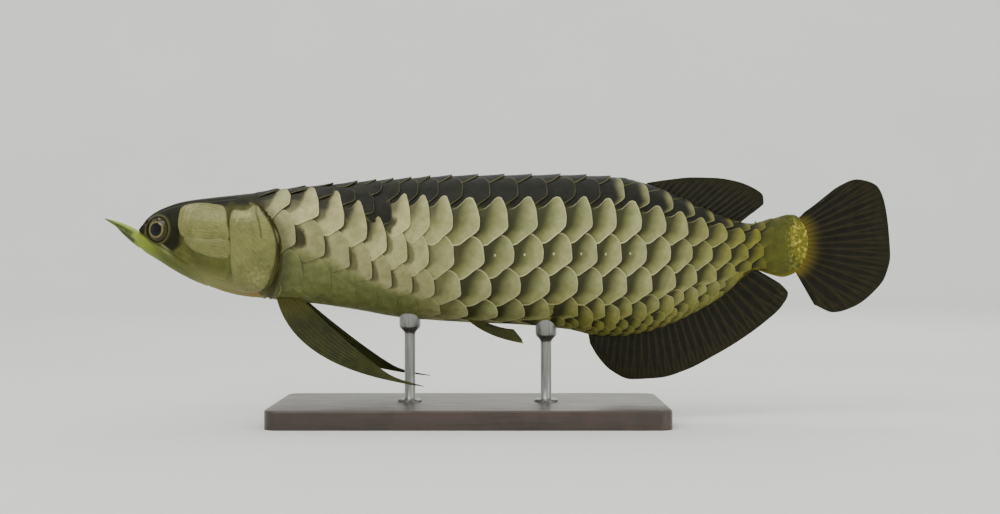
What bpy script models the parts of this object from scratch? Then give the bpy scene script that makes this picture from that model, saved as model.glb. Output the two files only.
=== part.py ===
"""An Asian arowana as a life-size still model on a plain display stand.

The head points to -X, the back to +Z and the left flank to -Y. The origin is the middle of the
underside of the stand. Sizes are in millimetres, and place() turns them into metres. A point of
the fish is given by along, its distance behind the tip of the lower jaw, and by up, its height
over the long axis of the fish.
"""

import math

import bmesh
import bpy
import numpy as np
from mathutils import Vector

MM = 0.001
GAP = 0.3

JAW_TIP_X = -250.0
AXIS_HEIGHT = 127.5

BODY_LENGTH = 504.0
BACK_LINE = ((0, 15), (6.8, 22.2), (14.3, 28.1), (24.8, 33), (36, 36.4), (51, 38.6), (92, 43.1),
             (137, 48), (197, 52.9), (250, 55.5), (317, 55.9), (362, 54), (385, 48.8), (407, 40.1),
             (427, 30.8), (445, 23.3), (461, 19.9), (477, 23.6), (490, 26.6), (504, 24.5))
BELLY_LINE = ((0, 0.5), (6.8, -2.2), (16.5, -7.9), (31, -16.9), (47, -24.8), (66, -31.1),
              (85.5, -35.3), (110, -37.5), (137, -40.5), (166.5, -45), (197, -50.3), (238, -53.6),
              (289, -55.9), (323, -59.3), (346, -64.1), (362, -64.5), (378, -62.3), (400, -55.5),
              (431, -39.8), (445.5, -29.3), (456, -19.5), (463.5, -15), (474, -18), (484.5, -20.3),
              (494, -17.3), (504, -13))
HALF_WIDTH = ((0, 5), (3, 6.6), (6.8, 8.4), (14, 12.2), (25, 16.3), (40, 19.5), (60, 22.6),
              (85, 25.5), (110, 27), (140, 27.5), (200, 27), (260, 26), (320, 23.5), (370, 19),
              (410, 14), (445, 8.5), (463, 6.2), (480, 5.2), (493, 3.8), (504, 2.6))
NOSE_HEIGHT = 9.0
NOSE_ROUNDING = 9.0
TAIL_HEIGHT = 5.0
TAIL_ROUNDING = 12.0
WIDEST_AT = 0.54
BACK_FULLNESS = 2.7
BELLY_FULLNESS = 2.2
BELLY_KEEL = 0.64

HEAD_SIDES = 28
HEAD_SPACING = 6.0
HEAD_REACH = 122.0
THROAT_START = 40.0
MOUTH_LINE = ((0.4, 14.6), (10.5, 8.6), (20.3, 3.0), (30.0, -3.6), (44.3, -12.6))
JAW_HINGE_LINE = ((50, -19), (56, -46))
GILL_LINE = ((80, 56), (88.5, 39.8), (98.3, 28.5), (107, 16.5), (110.6, 3.8), (110.3, -9),
             (107.3, -21), (101.3, -31.5), (93, -44))

EYE_PLACE = (18.75, 15.0)
EYE_RADIUS = 10.2
EYE_HALF_DEPTH = 6.5
EYE_SUNK = 4.2
EYE_RIM_RADIUS = 8.9
EYE_RIM_THICKNESS = 1.25
NOSTRILS = ((5.6, 16.4, 0.75), (10.2, 20.4, 1.0))

CHEEK_UPPER = ((31.5, 32), (42, 34.6), (54, 33.8), (63.5, 31), (66.8, 19.5), (67.5, 8.2),
               (51, 8.6), (34, 9.6), (29.5, 16), (29.3, 25))
CHEEK_LOWER = ((34.5, 7.6), (51, 6.8), (67.6, 6.4), (68.2, -5), (58.5, -6), (47.3, -3), (39.5, 1.4))
OPERCLE = ((70.2, 27), (82, 28.6), (90, 32.6), (96.5, 27.5), (103, 18), (106.2, 6),
           (105.4, -5.3), (101.8, -15.8), (90.8, -19.5), (79.5, -20.3), (70.8, -18.8), (69.8, 4))
SUBOPERCLE = ((70.8, -16.8), (86, -17.5), (101.4, -14.8), (97.5, -25), (90.8, -29.8), (81, -31.4),
              (73.3, -28.6))
PREOPERCLE_RIDGE = ((68.8, -8), (67.6, -16), (62.5, -21.5), (54, -20.5))

# Each plate's root under the skin, its edge and its crown over it.
CHEEK_UPPER_HEIGHTS = (-1.5, 0.35, 0.95)
CHEEK_LOWER_HEIGHTS = (-1.5, 0.35, 0.8)
OPERCLE_HEIGHTS = (-1.2, 1.3, 2.3)
SUBOPERCLE_HEIGHTS = (-1.2, 0.9, 1.6)
PREOPERCLE_SIZE = (3.2, 0.7)
UPPER_LIP_SIZE = (2.8, 0.75)
LOWER_LIP_SIZE = (2.8, 0.7)
LIP_SHIFT = (1.0, 1.75)
JAW_GAP_SHIFT = 0.26

SCALE_START = 66.0
SCALE_PITCH = ((66, 19.5), (235, 21.4), (317, 21), (362, 19), (407, 16), (452, 12.8), (504, 10.8))
SCALE_ROWS_A_SIDE = 6
ROWS_AT_SHOULDER = (0, 0.163, 0.33, 0.5, 0.67, 0.835, 1)
ROWS_AT_DORSAL_FIN = (0, 0.14, 0.315, 0.51, 0.69, 0.835, 1)
ROWS_AT_PEDUNCLE = (0, 0.08, 0.225, 0.43, 0.635, 0.825, 1)
ROW_STATIONS = (310, 362, 425)
SCALE_HEIGHT = 1.45
SCALE_LEAST = 0.16
TAIL_SCALES_END = 486.0
TAIL_FIN_GAP = 0.75
SCALE_CORNER = 0.19
SCALE_BULGE = 0.13

SHOULDER_CUT = 235.0
PEDUNCLE_CUT = 465.0

DORSAL_BASE = (381, 450)
DORSAL_EDGE = ((0, 383, 50.5), (0.15, 400, 53), (0.3, 417, 54.6), (0.45, 434, 54.2),
               (0.6, 449, 51.8), (0.75, 462, 46.8), (0.87, 469.5, 40.5), (0.95, 470, 35),
               (1, 463, 29))
ANAL_BASE = (338, 461)
ANAL_EDGE = ((0, 340, -70), (0.08, 346, -80), (0.17, 356, -90.5), (0.28, 371, -97),
             (0.4, 392, -95.8), (0.52, 412, -89.7), (0.64, 431, -80), (0.75, 450, -69),
             (0.86, 470, -55), (0.94, 485, -41), (0.985, 489, -32), (1, 483, -25))
CAUDAL_BASE = ((492, 21.5), (494, 5), (492, -13))
CAUDAL_EDGE = ((0, 513, 35), (0.06, 525, 47), (0.14, 540, 53), (0.24, 555, 48.5), (0.36, 562, 33),
               (0.5, 565, 12), (0.62, 566, -4), (0.74, 562, -20), (0.84, 551, -33.5),
               (0.92, 537, -43), (0.97, 522, -46.8), (1, 508, -41))

# Each fin's rays, the lengths each ray is cut into, and its thickness at the root.
DORSAL_BUILD = (14, 3, 2.6)
ANAL_BUILD = (20, 3, 2.8)
CAUDAL_BUILD = (13, 4, 3.2)
PECTORAL_BUILD = (7, 5, 2.4)
PELVIC_BUILD = (5, 3, 2.4)
FIN_EDGE_THICKNESS = 0.7
MEMBRANE_SHARE = 0.55
FIN_LEAST_HALF = 0.26
FIN_ROOT_DEPTH = 3.5

# Each paired fin: its leading and its trailing ray, as base, bend and tip in along, out and up.
PECTORAL_LEADING = ((105, 5, -33), (119, 24, -87.5), (218, 46, -98))
PECTORAL_TRAILING = ((121, 6, -33), (160, 21, -69), (195, 35, -93))
PELVIC_LEADING = ((247, 3.5, -51), (262, 11, -65), (290, 17, -69))
PELVIC_TRAILING = ((257, 3.5, -52), (270, 8, -59), (283, 11, -60))

BARBEL_PATHS = {
    "barbel_left": ((5, -3.2, 7.5), (-1, -3.6, 12.6), (-11, -5.2, 18.4), (-21.8, -7.2, 23.3)),
    "barbel_right": ((5, 3.2, 2.8), (-1, 3.6, 7.2), (-10, 5.2, 13.6), (-18.5, 7, 19.5))}
BARBEL_RADII = (4.2, 3.8, 2.5, 0.45)
BARBEL_FLATNESS = 0.6
BARBEL_TILT = (0.55, 0.83)

BASE_LENGTH = 290.0
BASE_WIDTH = 130.0
BASE_THICKNESS = 14.0
BASE_CORNER = 10.0
BASE_EDGE = 1.5
ROD_STATIONS = {"stand_rod_front": 205.0, "stand_rod_rear": 307.0}
ROD_RADIUS = 4.0
SADDLE_RADIUS = 8.0
SADDLE_THICKNESS = 6.0


def clear_scene():
    """An empty scene."""
    for obj in list(bpy.data.objects):
        bpy.data.objects.remove(obj, do_unlink=True)


def place(point):
    """A point given as along, out and up in millimetres, in metres in the part's own frame."""
    along, out, up = point
    return Vector(((JAW_TIP_X + along) * MM, out * MM, (AXIS_HEIGHT + up) * MM))


def smooth_curve(points):
    """A smooth function through the points that doesn't overshoot between them."""
    xs = np.array([point[0] for point in points], float)
    ys = np.array([point[1] for point in points], float)
    slopes = np.diff(ys) / np.diff(xs)
    tangents = np.zeros(len(xs))
    tangents[0] = slopes[0]
    tangents[-1] = slopes[-1]
    for i in range(1, len(xs) - 1):
        before, after = slopes[i - 1], slopes[i]
        if before * after > 0:
            tangents[i] = 2 * before * after / (before + after)

    def value(x):
        x = min(max(x, xs[0]), xs[-1])
        i = min(int(np.searchsorted(xs, x, side="right")) - 1, len(xs) - 2)
        width = xs[i + 1] - xs[i]
        s = (x - xs[i]) / width
        first = ys[i] * (1 + 2 * s) * (1 - s) ** 2 + tangents[i] * width * s * (1 - s) ** 2
        second = ys[i + 1] * s * s * (3 - 2 * s) + tangents[i + 1] * width * s * s * (s - 1)
        return first + second

    return value


def smooth_path(points):
    """A smooth function of the fraction along a path through points of any number of values."""
    count = len(points) - 1
    curves = [smooth_curve([(i / count, point[k]) for i, point in enumerate(points)])
              for k in range(len(points[0]))]
    return lambda s: tuple(curve(s) for curve in curves)


back_line = smooth_curve(BACK_LINE)
belly_line = smooth_curve(BELLY_LINE)
half_width = smooth_curve(HALF_WIDTH)


def rounding(distance, length):
    """How far the outline has opened at this distance from an end that is rounded over length."""
    left = max(0.0, 1 - distance / length)
    return math.sqrt(max(0.0, 1 - left * left))


def outline(along):
    """The heights of back and belly and the half-width, with both ends rounded off."""
    opened = rounding(along, NOSE_ROUNDING) * rounding(BODY_LENGTH - along, TAIL_ROUNDING)
    middle = NOSE_HEIGHT if along < BODY_LENGTH / 2 else TAIL_HEIGHT
    top = middle + (back_line(along) - middle) * opened
    bottom = middle + (belly_line(along) - middle) * opened
    return top, bottom, half_width(along) * opened


SECTION_STEPS = np.cos(np.linspace(0, math.pi, 61))
sections = {}


def section(along):
    """Half a cross-section from back to belly: fractions of its length, half-widths and heights."""
    key = round(along, 4)
    if key not in sections:
        top, bottom, width = outline(along)
        widest = bottom + WIDEST_AT * (top - bottom)
        over = SECTION_STEPS >= 0
        level = np.abs(SECTION_STEPS)
        heights = widest + np.where(over, level * (top - widest), level * (bottom - widest))
        upper = (1 - level**BACK_FULLNESS) ** 0.5
        lower = (1 - level**BELLY_FULLNESS) ** BELLY_KEEL
        outs = width * np.where(over, upper, lower)
        lengths = np.hypot(np.diff(outs), np.diff(heights))
        fractions = np.concatenate([[0], np.cumsum(lengths)]) / lengths.sum()
        sections[key] = (fractions, outs, heights)
    return sections[key]


def on_skin(along, turn):
    """The skin at a fraction of the half girth: 0 on the back, 1 or -1 on the belly, + to the right."""
    along = min(max(along, 0.02), BODY_LENGTH - 0.02)
    if turn > 1:
        turn -= 2
    if turn < -1:
        turn += 2
    fractions, outs, heights = section(along)
    out = float(np.interp(abs(turn), fractions, outs))
    up = float(np.interp(abs(turn), fractions, heights))
    return Vector((along, math.copysign(out, turn), up))


def off_skin(along, turn, height):
    """A point at this height over the skin."""
    step = 0.5
    twist = 0.012
    along = min(max(along, 0.6), BODY_LENGTH - 0.6)
    forward = on_skin(along + step, turn) - on_skin(along - step, turn)
    round_it = on_skin(along, turn + twist) - on_skin(along, turn - twist)
    return on_skin(along, turn) + forward.cross(round_it).normalized() * height


def turn_at(along, up):
    """The fraction of the half girth at which the flank reaches this height."""
    fractions, _, heights = section(along)
    return float(np.interp(-up, -heights, fractions))


def on_flank(along, up, side, height):
    """A point over the flank, found by its place in the side view."""
    return off_skin(along, side * turn_at(along, up), height)


def new_object(name, points, faces):
    """An object made of points in along, out and up, with its faces turned outwards."""
    mesh = bpy.data.meshes.new(name)
    mesh.from_pydata([place(point) for point in points], [], faces)
    shaped = bmesh.new()
    shaped.from_mesh(mesh)
    bmesh.ops.recalc_face_normals(shaped, faces=shaped.faces)
    bmesh.ops.triangulate(shaped, faces=shaped.faces)
    if shaped.calc_volume(signed=True) < 0:
        bmesh.ops.reverse_faces(shaped, faces=shaped.faces)
    shaped.to_mesh(mesh)
    shaped.free()
    obj = bpy.data.objects.new(name, mesh)
    bpy.context.scene.collection.objects.link(obj)
    return obj


def apply_modifiers(obj):
    """The object's mesh as its modifiers leave it."""
    bpy.context.view_layer.update()
    graph = bpy.context.evaluated_depsgraph_get()
    finished = bpy.data.meshes.new_from_object(obj.evaluated_get(graph))
    obj.modifiers.clear()
    obj.data = finished


def combine(obj, operation, pieces):
    """A Boolean of the object with a collection of closed pieces, which are then removed."""
    group = bpy.data.collections.new("pieces")
    bpy.context.scene.collection.children.link(group)
    for piece in pieces:
        group.objects.link(piece)
    boolean = obj.modifiers.new("combine", "BOOLEAN")
    boolean.operation = operation
    boolean.operand_type = "COLLECTION"
    boolean.collection = group
    boolean.solver = "EXACT"
    apply_modifiers(obj)
    for piece in pieces:
        bpy.data.objects.remove(piece, do_unlink=True)
    bpy.data.collections.remove(group)
    keep_largest(obj)


def keep_largest(obj):
    """Drops every closed surface of the object but its largest."""
    shaped = bmesh.new()
    shaped.from_mesh(obj.data)
    bmesh.ops.triangulate(shaped, faces=shaped.faces)
    left = set(shaped.faces)
    islands = []
    while left:
        island = [left.pop()]
        for face in island:
            for edge in face.edges:
                for other in edge.link_faces:
                    if other in left:
                        left.discard(other)
                        island.append(other)
        islands.append(island)
    islands.sort(key=lambda island: sum(face.calc_area() for face in island))
    for island in islands[:-1]:
        bmesh.ops.delete(shaped, geom=island, context="FACES")
    shaped.to_mesh(obj.data)
    shaped.free()


def rings_object(name, rings, first_cap, last_cap):
    """A closed mesh of rings of points, each cap a fan to its own middle point."""
    sides = len(rings[0])
    points = [point for ring in rings for point in ring]
    faces = []
    for i in range(len(rings) - 1):
        for k in range(sides):
            after = (k + 1) % sides
            here, beyond = i * sides, (i + 1) * sides
            faces.append((here + k, here + after, beyond + after, beyond + k))
    for ring, middle in ((0, first_cap), (len(rings) - 1, last_cap)):
        points.append(middle)
        for k in range(sides):
            faces.append((ring * sides + k, ring * sides + (k + 1) % sides, len(points) - 1))
    return new_object(name, points, faces)


def body_object(name, height, start, end, spacing, sides):
    """The smooth body between two stations, at this height over the skin."""
    stations = [start]
    ahead = NOSE_ROUNDING * 0.03
    while start == 0 and stations[-1] + ahead < NOSE_ROUNDING + spacing:
        stations.append(stations[-1] + ahead)
        ahead = min(ahead * 1.55, spacing)
    even_end = BODY_LENGTH - 9 if end == BODY_LENGTH else end
    count = math.ceil((even_end - stations[-1]) / spacing)
    stations += [float(s) for s in np.linspace(stations[-1], even_end, count + 1)[1:]]
    if end == BODY_LENGTH:
        stations += [BODY_LENGTH - 5.5, BODY_LENGTH - 3, BODY_LENGTH - 1.2]
    if start == 0:
        stations = stations[1:]
    rings = [[off_skin(along, -1 + 2 * k / sides, height) for k in range(sides)]
             for along in stations]
    first = Vector((start - (height if start == 0 else 0), 0, middle_height(start)))
    last = Vector((end + (height if end == BODY_LENGTH else 0), 0, middle_height(end)))
    return rings_object(name, rings, first, last)


def middle_height(along):
    """The height half way between back and belly."""
    top, bottom, _ = outline(along)
    return (top + bottom) / 2


def side_prism(name, corners):
    """A prism as wide as the fish and more, from its outline in the side view."""
    reach = 70
    rings = [[(along, out, up) for along, up in corners] for out in (-reach, reach)]
    sides = len(corners)
    faces = [tuple(range(sides)), tuple(range(sides, 2 * sides))]
    faces += [(k, (k + 1) % sides, (k + 1) % sides + sides, k + sides) for k in range(sides)]
    return new_object(name, rings[0] + rings[1], faces)


def line_points(points, count):
    """A path through the points in the side view, cut into this many lengths."""
    path = smooth_path(points)
    return [path(i / count) for i in range(count + 1)]


def closed_outline(points, count):
    """A smooth closed outline through the points."""
    total = len(points)
    found = []
    for i in range(count):
        place_in = i / count * total
        k = int(place_in)
        s = place_in - k
        before, first, second, after = (np.array(points[(k + n) % total], float)
                                        for n in (-1, 0, 1, 2))
        bend = (2 * first + (second - before) * s
                + (2 * before - 5 * first + 4 * second - after) * s * s
                + (3 * first - before - 3 * second + after) * s**3) / 2
        found.append(bend)
    return found


def plate_object(name, points, side, count, heights):
    """A bony plate that lies along the flank, crowned inside its thinner edge."""
    inner, edge, crown = heights
    rim = closed_outline(points, count)
    middle = sum(rim) / count
    rings = []
    for inset, height in ((0.0, inner), (0.0, edge), (0.1, crown), (0.45, crown)):
        ring = []
        for corner in rim:
            along, up = corner + (middle - corner) * inset
            ring.append(on_flank(along, up, side, height))
        rings.append(ring)
    inside = on_flank(middle[0], middle[1], side, inner)
    outside = on_flank(middle[0], middle[1], side, crown)
    return rings_object(name, rings, inside, outside)


def ridge_object(name, points, side, count, size):
    """A low rounded ridge along a path on the flank, given by its width and height."""
    width, height = size
    path = line_points(points, count)
    rings = []
    for i, (along, up) in enumerate(path):
        before, after = path[max(i - 1, 0)], path[min(i + 1, count)]
        run = Vector((after[0] - before[0], after[1] - before[1])).normalized()
        taper = 0.45 if i in (0, count) else 1.0
        ring = []
        for across, over in ((-0.5, -1.2), (-0.5, 0.1), (-0.22, height), (0.22, height),
                             (0.5, 0.1), (0.5, -1.2)):
            move = across * width * taper
            ring.append(on_flank(along - run.y * move, up + run.x * move, side, over))
        rings.append(ring)
    ends = [sum(ring, Vector()) / len(ring) for ring in (rings[0], rings[-1])]
    return rings_object(name, rings, ends[0], ends[1])


def eye_frame(side):
    """The middle of the eye and the three directions it is set by."""
    along, up = EYE_PLACE
    turn = side * turn_at(along, up)
    surface = off_skin(along, turn, 0)
    outward = (off_skin(along, turn, 1) - surface).normalized()
    upward = (Vector((0, 0, 1)) - outward * outward.z).normalized()
    return surface - outward * EYE_SUNK, outward, upward, outward.cross(upward)


def eye_ball(name, side, grown, sides, bands):
    """The eyeball, flattened along its axis, as big as it is or grown by a gap."""
    middle, outward, upward, sideways = eye_frame(side)
    rings = []
    for i in range(1, bands):
        slope = math.pi * i / bands
        depth = -math.cos(slope) * (EYE_HALF_DEPTH + grown)
        radius = math.sin(slope) * (EYE_RADIUS + grown)
        rings.append([middle + outward * depth
                      + upward * radius * math.cos(2 * math.pi * k / sides)
                      + sideways * radius * math.sin(2 * math.pi * k / sides)
                      for k in range(sides)])
    reach = outward * (EYE_HALF_DEPTH + grown)
    return rings_object(name, rings, middle - reach, middle + reach)


def eye_rim(name, side):
    """The raised rim of skin round the eye."""
    middle, outward, upward, sideways = eye_frame(side)
    sides = 16
    points = []
    faces = []
    tube = 4
    for k in range(sides):
        angle = 2 * math.pi * k / sides
        spoke = upward * math.cos(angle) + sideways * math.sin(angle)
        seat = middle + outward * (EYE_SUNK + 0.1) + spoke * EYE_RIM_RADIUS
        for n in range(tube):
            bend = 2 * math.pi * n / tube
            points.append(seat + (spoke * math.cos(bend) * 1.3 + outward * math.sin(bend))
                          * EYE_RIM_THICKNESS)
            here, after = k * tube, (k + 1) % sides * tube
            faces.append((here + n, here + (n + 1) % tube, after + (n + 1) % tube, after + n))
    return new_object(name, points, faces)


def ball(name, middle, radius):
    """A small ball for the pit of a nostril."""
    sides = 6
    rings = []
    for i in range(1, 4):
        slope = math.pi * i / 4
        ring = [middle + Vector((math.cos(2 * math.pi * k / sides) * math.sin(slope),
                                 math.sin(2 * math.pi * k / sides) * math.sin(slope),
                                 -math.cos(slope))) * radius for k in range(sides)]
        rings.append(ring)
    pole = Vector((0, 0, radius))
    return rings_object(name, rings, middle - pole, middle + pole)


def skull_object():
    """The whole head with its plates, ridges and lips, before it is parted."""
    skull = body_object("head", 0, 0, HEAD_REACH, HEAD_SPACING, HEAD_SIDES)
    pieces = []
    back, over = LIP_SHIFT
    upper_lip = [(along + back, up + over) for along, up in MOUTH_LINE[1:]]
    upper_lip.insert(0, (4.6, 13.9))
    lower_lip = [(along - back, up - over) for along, up in MOUTH_LINE[1:-1]]
    lower_lip.insert(0, (6.4, 8.7))
    for side in (-1, 1):
        pieces.append(plate_object("cheek", CHEEK_UPPER, side, 20, CHEEK_UPPER_HEIGHTS))
        pieces.append(plate_object("cheek", CHEEK_LOWER, side, 18, CHEEK_LOWER_HEIGHTS))
        pieces.append(ridge_object("ridge", PREOPERCLE_RIDGE, side, 5, PREOPERCLE_SIZE))
        pieces.append(ridge_object("ridge", upper_lip, side, 7, UPPER_LIP_SIZE))
        pieces.append(ridge_object("ridge", lower_lip, side, 6, LOWER_LIP_SIZE))
        pieces.append(eye_rim("rim", side))
        for along, up, radius in NOSTRILS:
            pieces.append(ball("rim", on_flank(along, up, side, 0.05), radius * 1.7))
    combine(skull, "UNION", pieces)
    return skull


def jaw_corners(shift):
    """The outline in the side view of all that belongs to the lower jaw."""
    line = line_points(MOUTH_LINE, 8) + list(JAW_HINGE_LINE)
    corners = [(along + shift, up + shift) for along, up in line]
    return [(-20, 22 + shift)] + corners + [(-20, -46 + shift)]


def make_head():
    """The head, its lower jaw and its eyes."""
    skull = skull_object()
    jaw = skull.copy()
    jaw.data = skull.data.copy()
    jaw.name = "lower_jaw"
    bpy.context.scene.collection.objects.link(jaw)
    combine(jaw, "INTERSECT", [side_prism("cut", jaw_corners(0))])
    front = [(along, up) for along, up in line_points(GILL_LINE, 16)]
    combine(skull, "INTERSECT", [side_prism("cut", [(-30, 56)] + front + [(-30, -44)])])
    cuts = [side_prism("cut", jaw_corners(JAW_GAP_SHIFT))]
    for side in (-1, 1):
        cuts.append(eye_ball("cut", side, GAP, 16, 6))
        for along, up, radius in NOSTRILS:
            cuts.append(ball("cut", on_flank(along, up, side, 1.15), radius * 1.45))
    combine(skull, "DIFFERENCE", cuts)
    skull.name = "head"
    for side, name in ((-1, "eye_left"), (1, "eye_right")):
        finish(eye_ball(name, side, 0, 16, 6), EYE_LOOK)
    finish(skull, HEAD_LOOK)
    finish(jaw, JAW_LOOK)


def throat_cutter():
    """The smooth head from the throat back, grown by the gap, to part another piece from it."""
    return body_object("cut", GAP, THROAT_START, HEAD_REACH, HEAD_SPACING, HEAD_SIDES)


def make_gill_covers():
    """The two gill covers, each an upper plate and the thinner plate under it."""
    for side, name in ((-1, "gill_cover_left"), (1, "gill_cover_right")):
        cover = plate_object(name, OPERCLE, side, 22, OPERCLE_HEIGHTS)
        lower = plate_object("lower", SUBOPERCLE, side, 14, SUBOPERCLE_HEIGHTS)
        combine(cover, "UNION", [lower])
        combine(cover, "DIFFERENCE", [throat_cutter()])
        finish(cover, GILL_LOOK)


def scale_columns():
    """The distance behind the jaw tip of each half column of scales."""
    pitch = smooth_curve(SCALE_PITCH)
    stations = [SCALE_START]
    while stations[-1] < BODY_LENGTH - 1:
        stations.append(stations[-1] + pitch(stations[-1]) / 2)
    stretch = (BODY_LENGTH - 0.8 - SCALE_START) / (stations[-1] - SCALE_START)
    return smooth_curve([(i / 2, SCALE_START + (station - SCALE_START) * stretch)
                         for i, station in enumerate(stations)]), (len(stations) - 1) / 2


row_places = [smooth_curve(((ROW_STATIONS[0], first), (ROW_STATIONS[1], second),
                            (ROW_STATIONS[2], third)))
              for first, second, third in zip(ROWS_AT_SHOULDER, ROWS_AT_DORSAL_FIN,
                                              ROWS_AT_PEDUNCLE)]


def row_turn(along, row):
    """The fraction of the half girth at which this row lies."""
    whole = SCALE_ROWS_A_SIDE
    if row > whole:
        row -= 2 * whole
    if row < -whole:
        row += 2 * whole
    k = min(int(abs(row)), whole - 1)
    first, second = row_places[k](along), row_places[k + 1](along)
    return math.copysign(first + (second - first) * (abs(row) - k), row)


def nearness(distance, reach):
    """1 at no distance, and 0 from this reach on."""
    s = min(max(1 - distance / reach, 0.0), 1.0)
    return s * s * (3 - 2 * s)


def scale_height(along, turn):
    """How far the free edge of a scale stands out here: less at the belly and at each fin."""
    turn = abs(turn)
    faded = nearness((1 - turn) * 100, 22)
    faded = max(faded, nearness(max(TAIL_SCALES_END - along, 0), 20))
    if DORSAL_BASE[0] - 14 < along < DORSAL_BASE[1] + 14:
        faded = max(faded, nearness(turn * 100, 26))
    point = on_skin(along, turn)
    for root in (PECTORAL_LEADING[0], PECTORAL_TRAILING[0], PELVIC_LEADING[0]):
        faded = max(faded, nearness((point - Vector(root)).length, 26))
    low_front = nearness(max(along - 160, 0), 60) * nearness((1 - turn) * 100, 60)
    height = SCALE_HEIGHT * (1 - 0.7 * low_front)
    return SCALE_LEAST + (height - SCALE_LEAST) * (1 - faded)


def scaled_body(grown):
    """The body from the nape to the tail, with each big scale a ramp that ends in a step."""
    column_along, last_column = scale_columns()
    rows = 2 * SCALE_ROWS_A_SIDE
    points = []
    known = {}

    def vertex(kind, column, row, level):
        row = (row + rows / 2) % rows - rows / 2
        key = (kind, round(column * 2), round(row * 100), level)
        if key not in known:
            bulge = SCALE_BULGE if kind == "side" else 0
            along = column_along(min(column + bulge, last_column))
            turn = row_turn(along, row)
            known[key] = len(points)
            height = scale_height(along, turn) * level / 2 + grown
            points.append(off_skin(along, turn, height))
        return known[key]

    def over(column, row, level):
        return vertex("corner", column, row, level)

    faces = []
    d = SCALE_CORNER
    for row in range(rows):
        shift = 0.5 * (row % 2)
        column = 0.5 + shift
        while column + 0.5 <= last_column:
            top, low = row - 0.5, row + 0.5
            cell = [over(column - 0.5, top + d, 0), over(column, top - d, 1),
                    over(column + 0.5, top + d, 2), vertex("side", column + 0.5, row, 2),
                    over(column + 0.5, low - d, 2), over(column, low + d, 1),
                    over(column - 0.5, low - d, 0), vertex("side", column - 0.5, row, 0)]
            middle = vertex("middle", column, row, 1)
            faces += [(cell[k], cell[(k + 1) % 8], middle) for k in range(8)]
            if column + 1.5 <= last_column:
                step = [vertex("side", column + 0.5, row, level) for level in (0, 2)]
                for end in (top + d, low - d):
                    faces.append([over(column + 0.5, end, level) for level in (0, 1, 2)]
                                 + [step[1], step[0]])
            if column + 1.0 <= last_column:
                for end, beyond in ((top - d, top + d), (low + d, low - d)):
                    faces.append((over(column, end, 1), over(column + 0.5, beyond, 2),
                                  over(column + 0.5, beyond, 1), over(column, end, 0)))
            column += 1
    return points, faces


def closed_scaled_body(grown):
    """The scaled body as a closed object, as big as it is or grown by a gap."""
    points, faces = scaled_body(grown)
    mesh = bpy.data.meshes.new("body")
    mesh.from_pydata(points, [], faces)
    shaped = bmesh.new()
    shaped.from_mesh(mesh)
    edges = [edge for edge in shaped.edges if len(edge.link_faces) == 1]
    for end in (SCALE_START, BODY_LENGTH):
        near = [edge for edge in edges if abs(edge.verts[0].co.x - end) < BODY_LENGTH / 3]
        reach = grown if end == BODY_LENGTH else 0
        middle = shaped.verts.new((end + reach, 0, middle_height(end)))
        for edge in near:
            shaped.faces.new((edge.verts[0], edge.verts[1], middle))
    bmesh.ops.recalc_face_normals(shaped, faces=shaped.faces)
    bmesh.ops.triangulate(shaped, faces=shaped.faces)
    shaped.verts.index_update()
    corners = [tuple(vertex.co) for vertex in shaped.verts]
    triangles = [[vertex.index for vertex in face.verts] for face in shaped.faces]
    shaped.free()
    bpy.data.meshes.remove(mesh)
    return new_object("body", corners, triangles)


def make_body():
    """The trunk in two lengths and the stalk of the tail, parted by thin cuts."""
    whole = closed_scaled_body(0)
    gill = [(along + GAP, up) for along, up in line_points(GILL_LINE, 16)]
    half = GAP / 2
    high, low = 90, -90
    shoulder, stalk, rear = SHOULDER_CUT, PEDUNCLE_CUT, BODY_LENGTH + 30
    parts = (("torso_front", [(shoulder - half, high)] + gill + [(shoulder - half, low)]),
             ("torso_rear", [(shoulder + half, high), (stalk - half, high),
                             (stalk - half, low), (shoulder + half, low)]),
             ("tail_stalk", [(stalk + half, high), (rear, high), (rear, low),
                             (stalk + half, low)]))
    for name, corners in parts:
        part = whole.copy()
        part.data = whole.data.copy()
        part.name = name
        bpy.context.scene.collection.objects.link(part)
        combine(part, "INTERSECT", [side_prism("cut", corners)])
        finish(part, BODY_LOOK)
    bpy.data.objects.remove(whole, do_unlink=True)


def fin_object(name, ray_point, build):
    """A fin as a thin membrane with a ridge for each ray, alike on both of its faces."""
    rays, lengths, root = build
    steps = 2 * rays
    front = []
    rear = []
    for i in range(steps + 1):
        u = i / steps
        ridge = i % 2 == 1
        for k in range(lengths + 1):
            v = k / lengths
            middle = Vector(ray_point(u, v))
            du = Vector(ray_point(min(u + 0.01, 1), v)) - Vector(ray_point(max(u - 0.01, 0), v))
            dv = Vector(ray_point(u, min(v + 0.01, 1))) - Vector(ray_point(u, max(v - 0.01, 0)))
            thick = root + (FIN_EDGE_THICKNESS - root) * v
            half = max(thick / 2 * (1.0 if ridge else MEMBRANE_SHARE), FIN_LEAST_HALF)
            facing = du.cross(dv).normalized() * half
            front.append(middle + facing)
            rear.append(middle - facing)
    count = len(front)
    across = lengths + 1
    faces = []
    for i in range(steps):
        for k in range(lengths):
            a, b = i * across + k, (i + 1) * across + k
            faces.append((a, a + 1, b + 1))
            faces.append((a, b + 1, b))
            faces.append((count + a, count + b + 1, count + a + 1))
            faces.append((count + a, count + b, count + b + 1))
    loop = [k for k in range(across)]
    loop += [i * across + lengths for i in range(1, steps + 1)]
    loop += [steps * across + k for k in range(lengths - 1, -1, -1)]
    loop += [i * across for i in range(steps - 1, 0, -1)]
    for n, a in enumerate(loop):
        b = loop[(n + 1) % len(loop)]
        faces.append((a, b, count + b))
        faces.append((a, count + b, count + a))
    return new_object(name, front + rear, faces)


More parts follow.
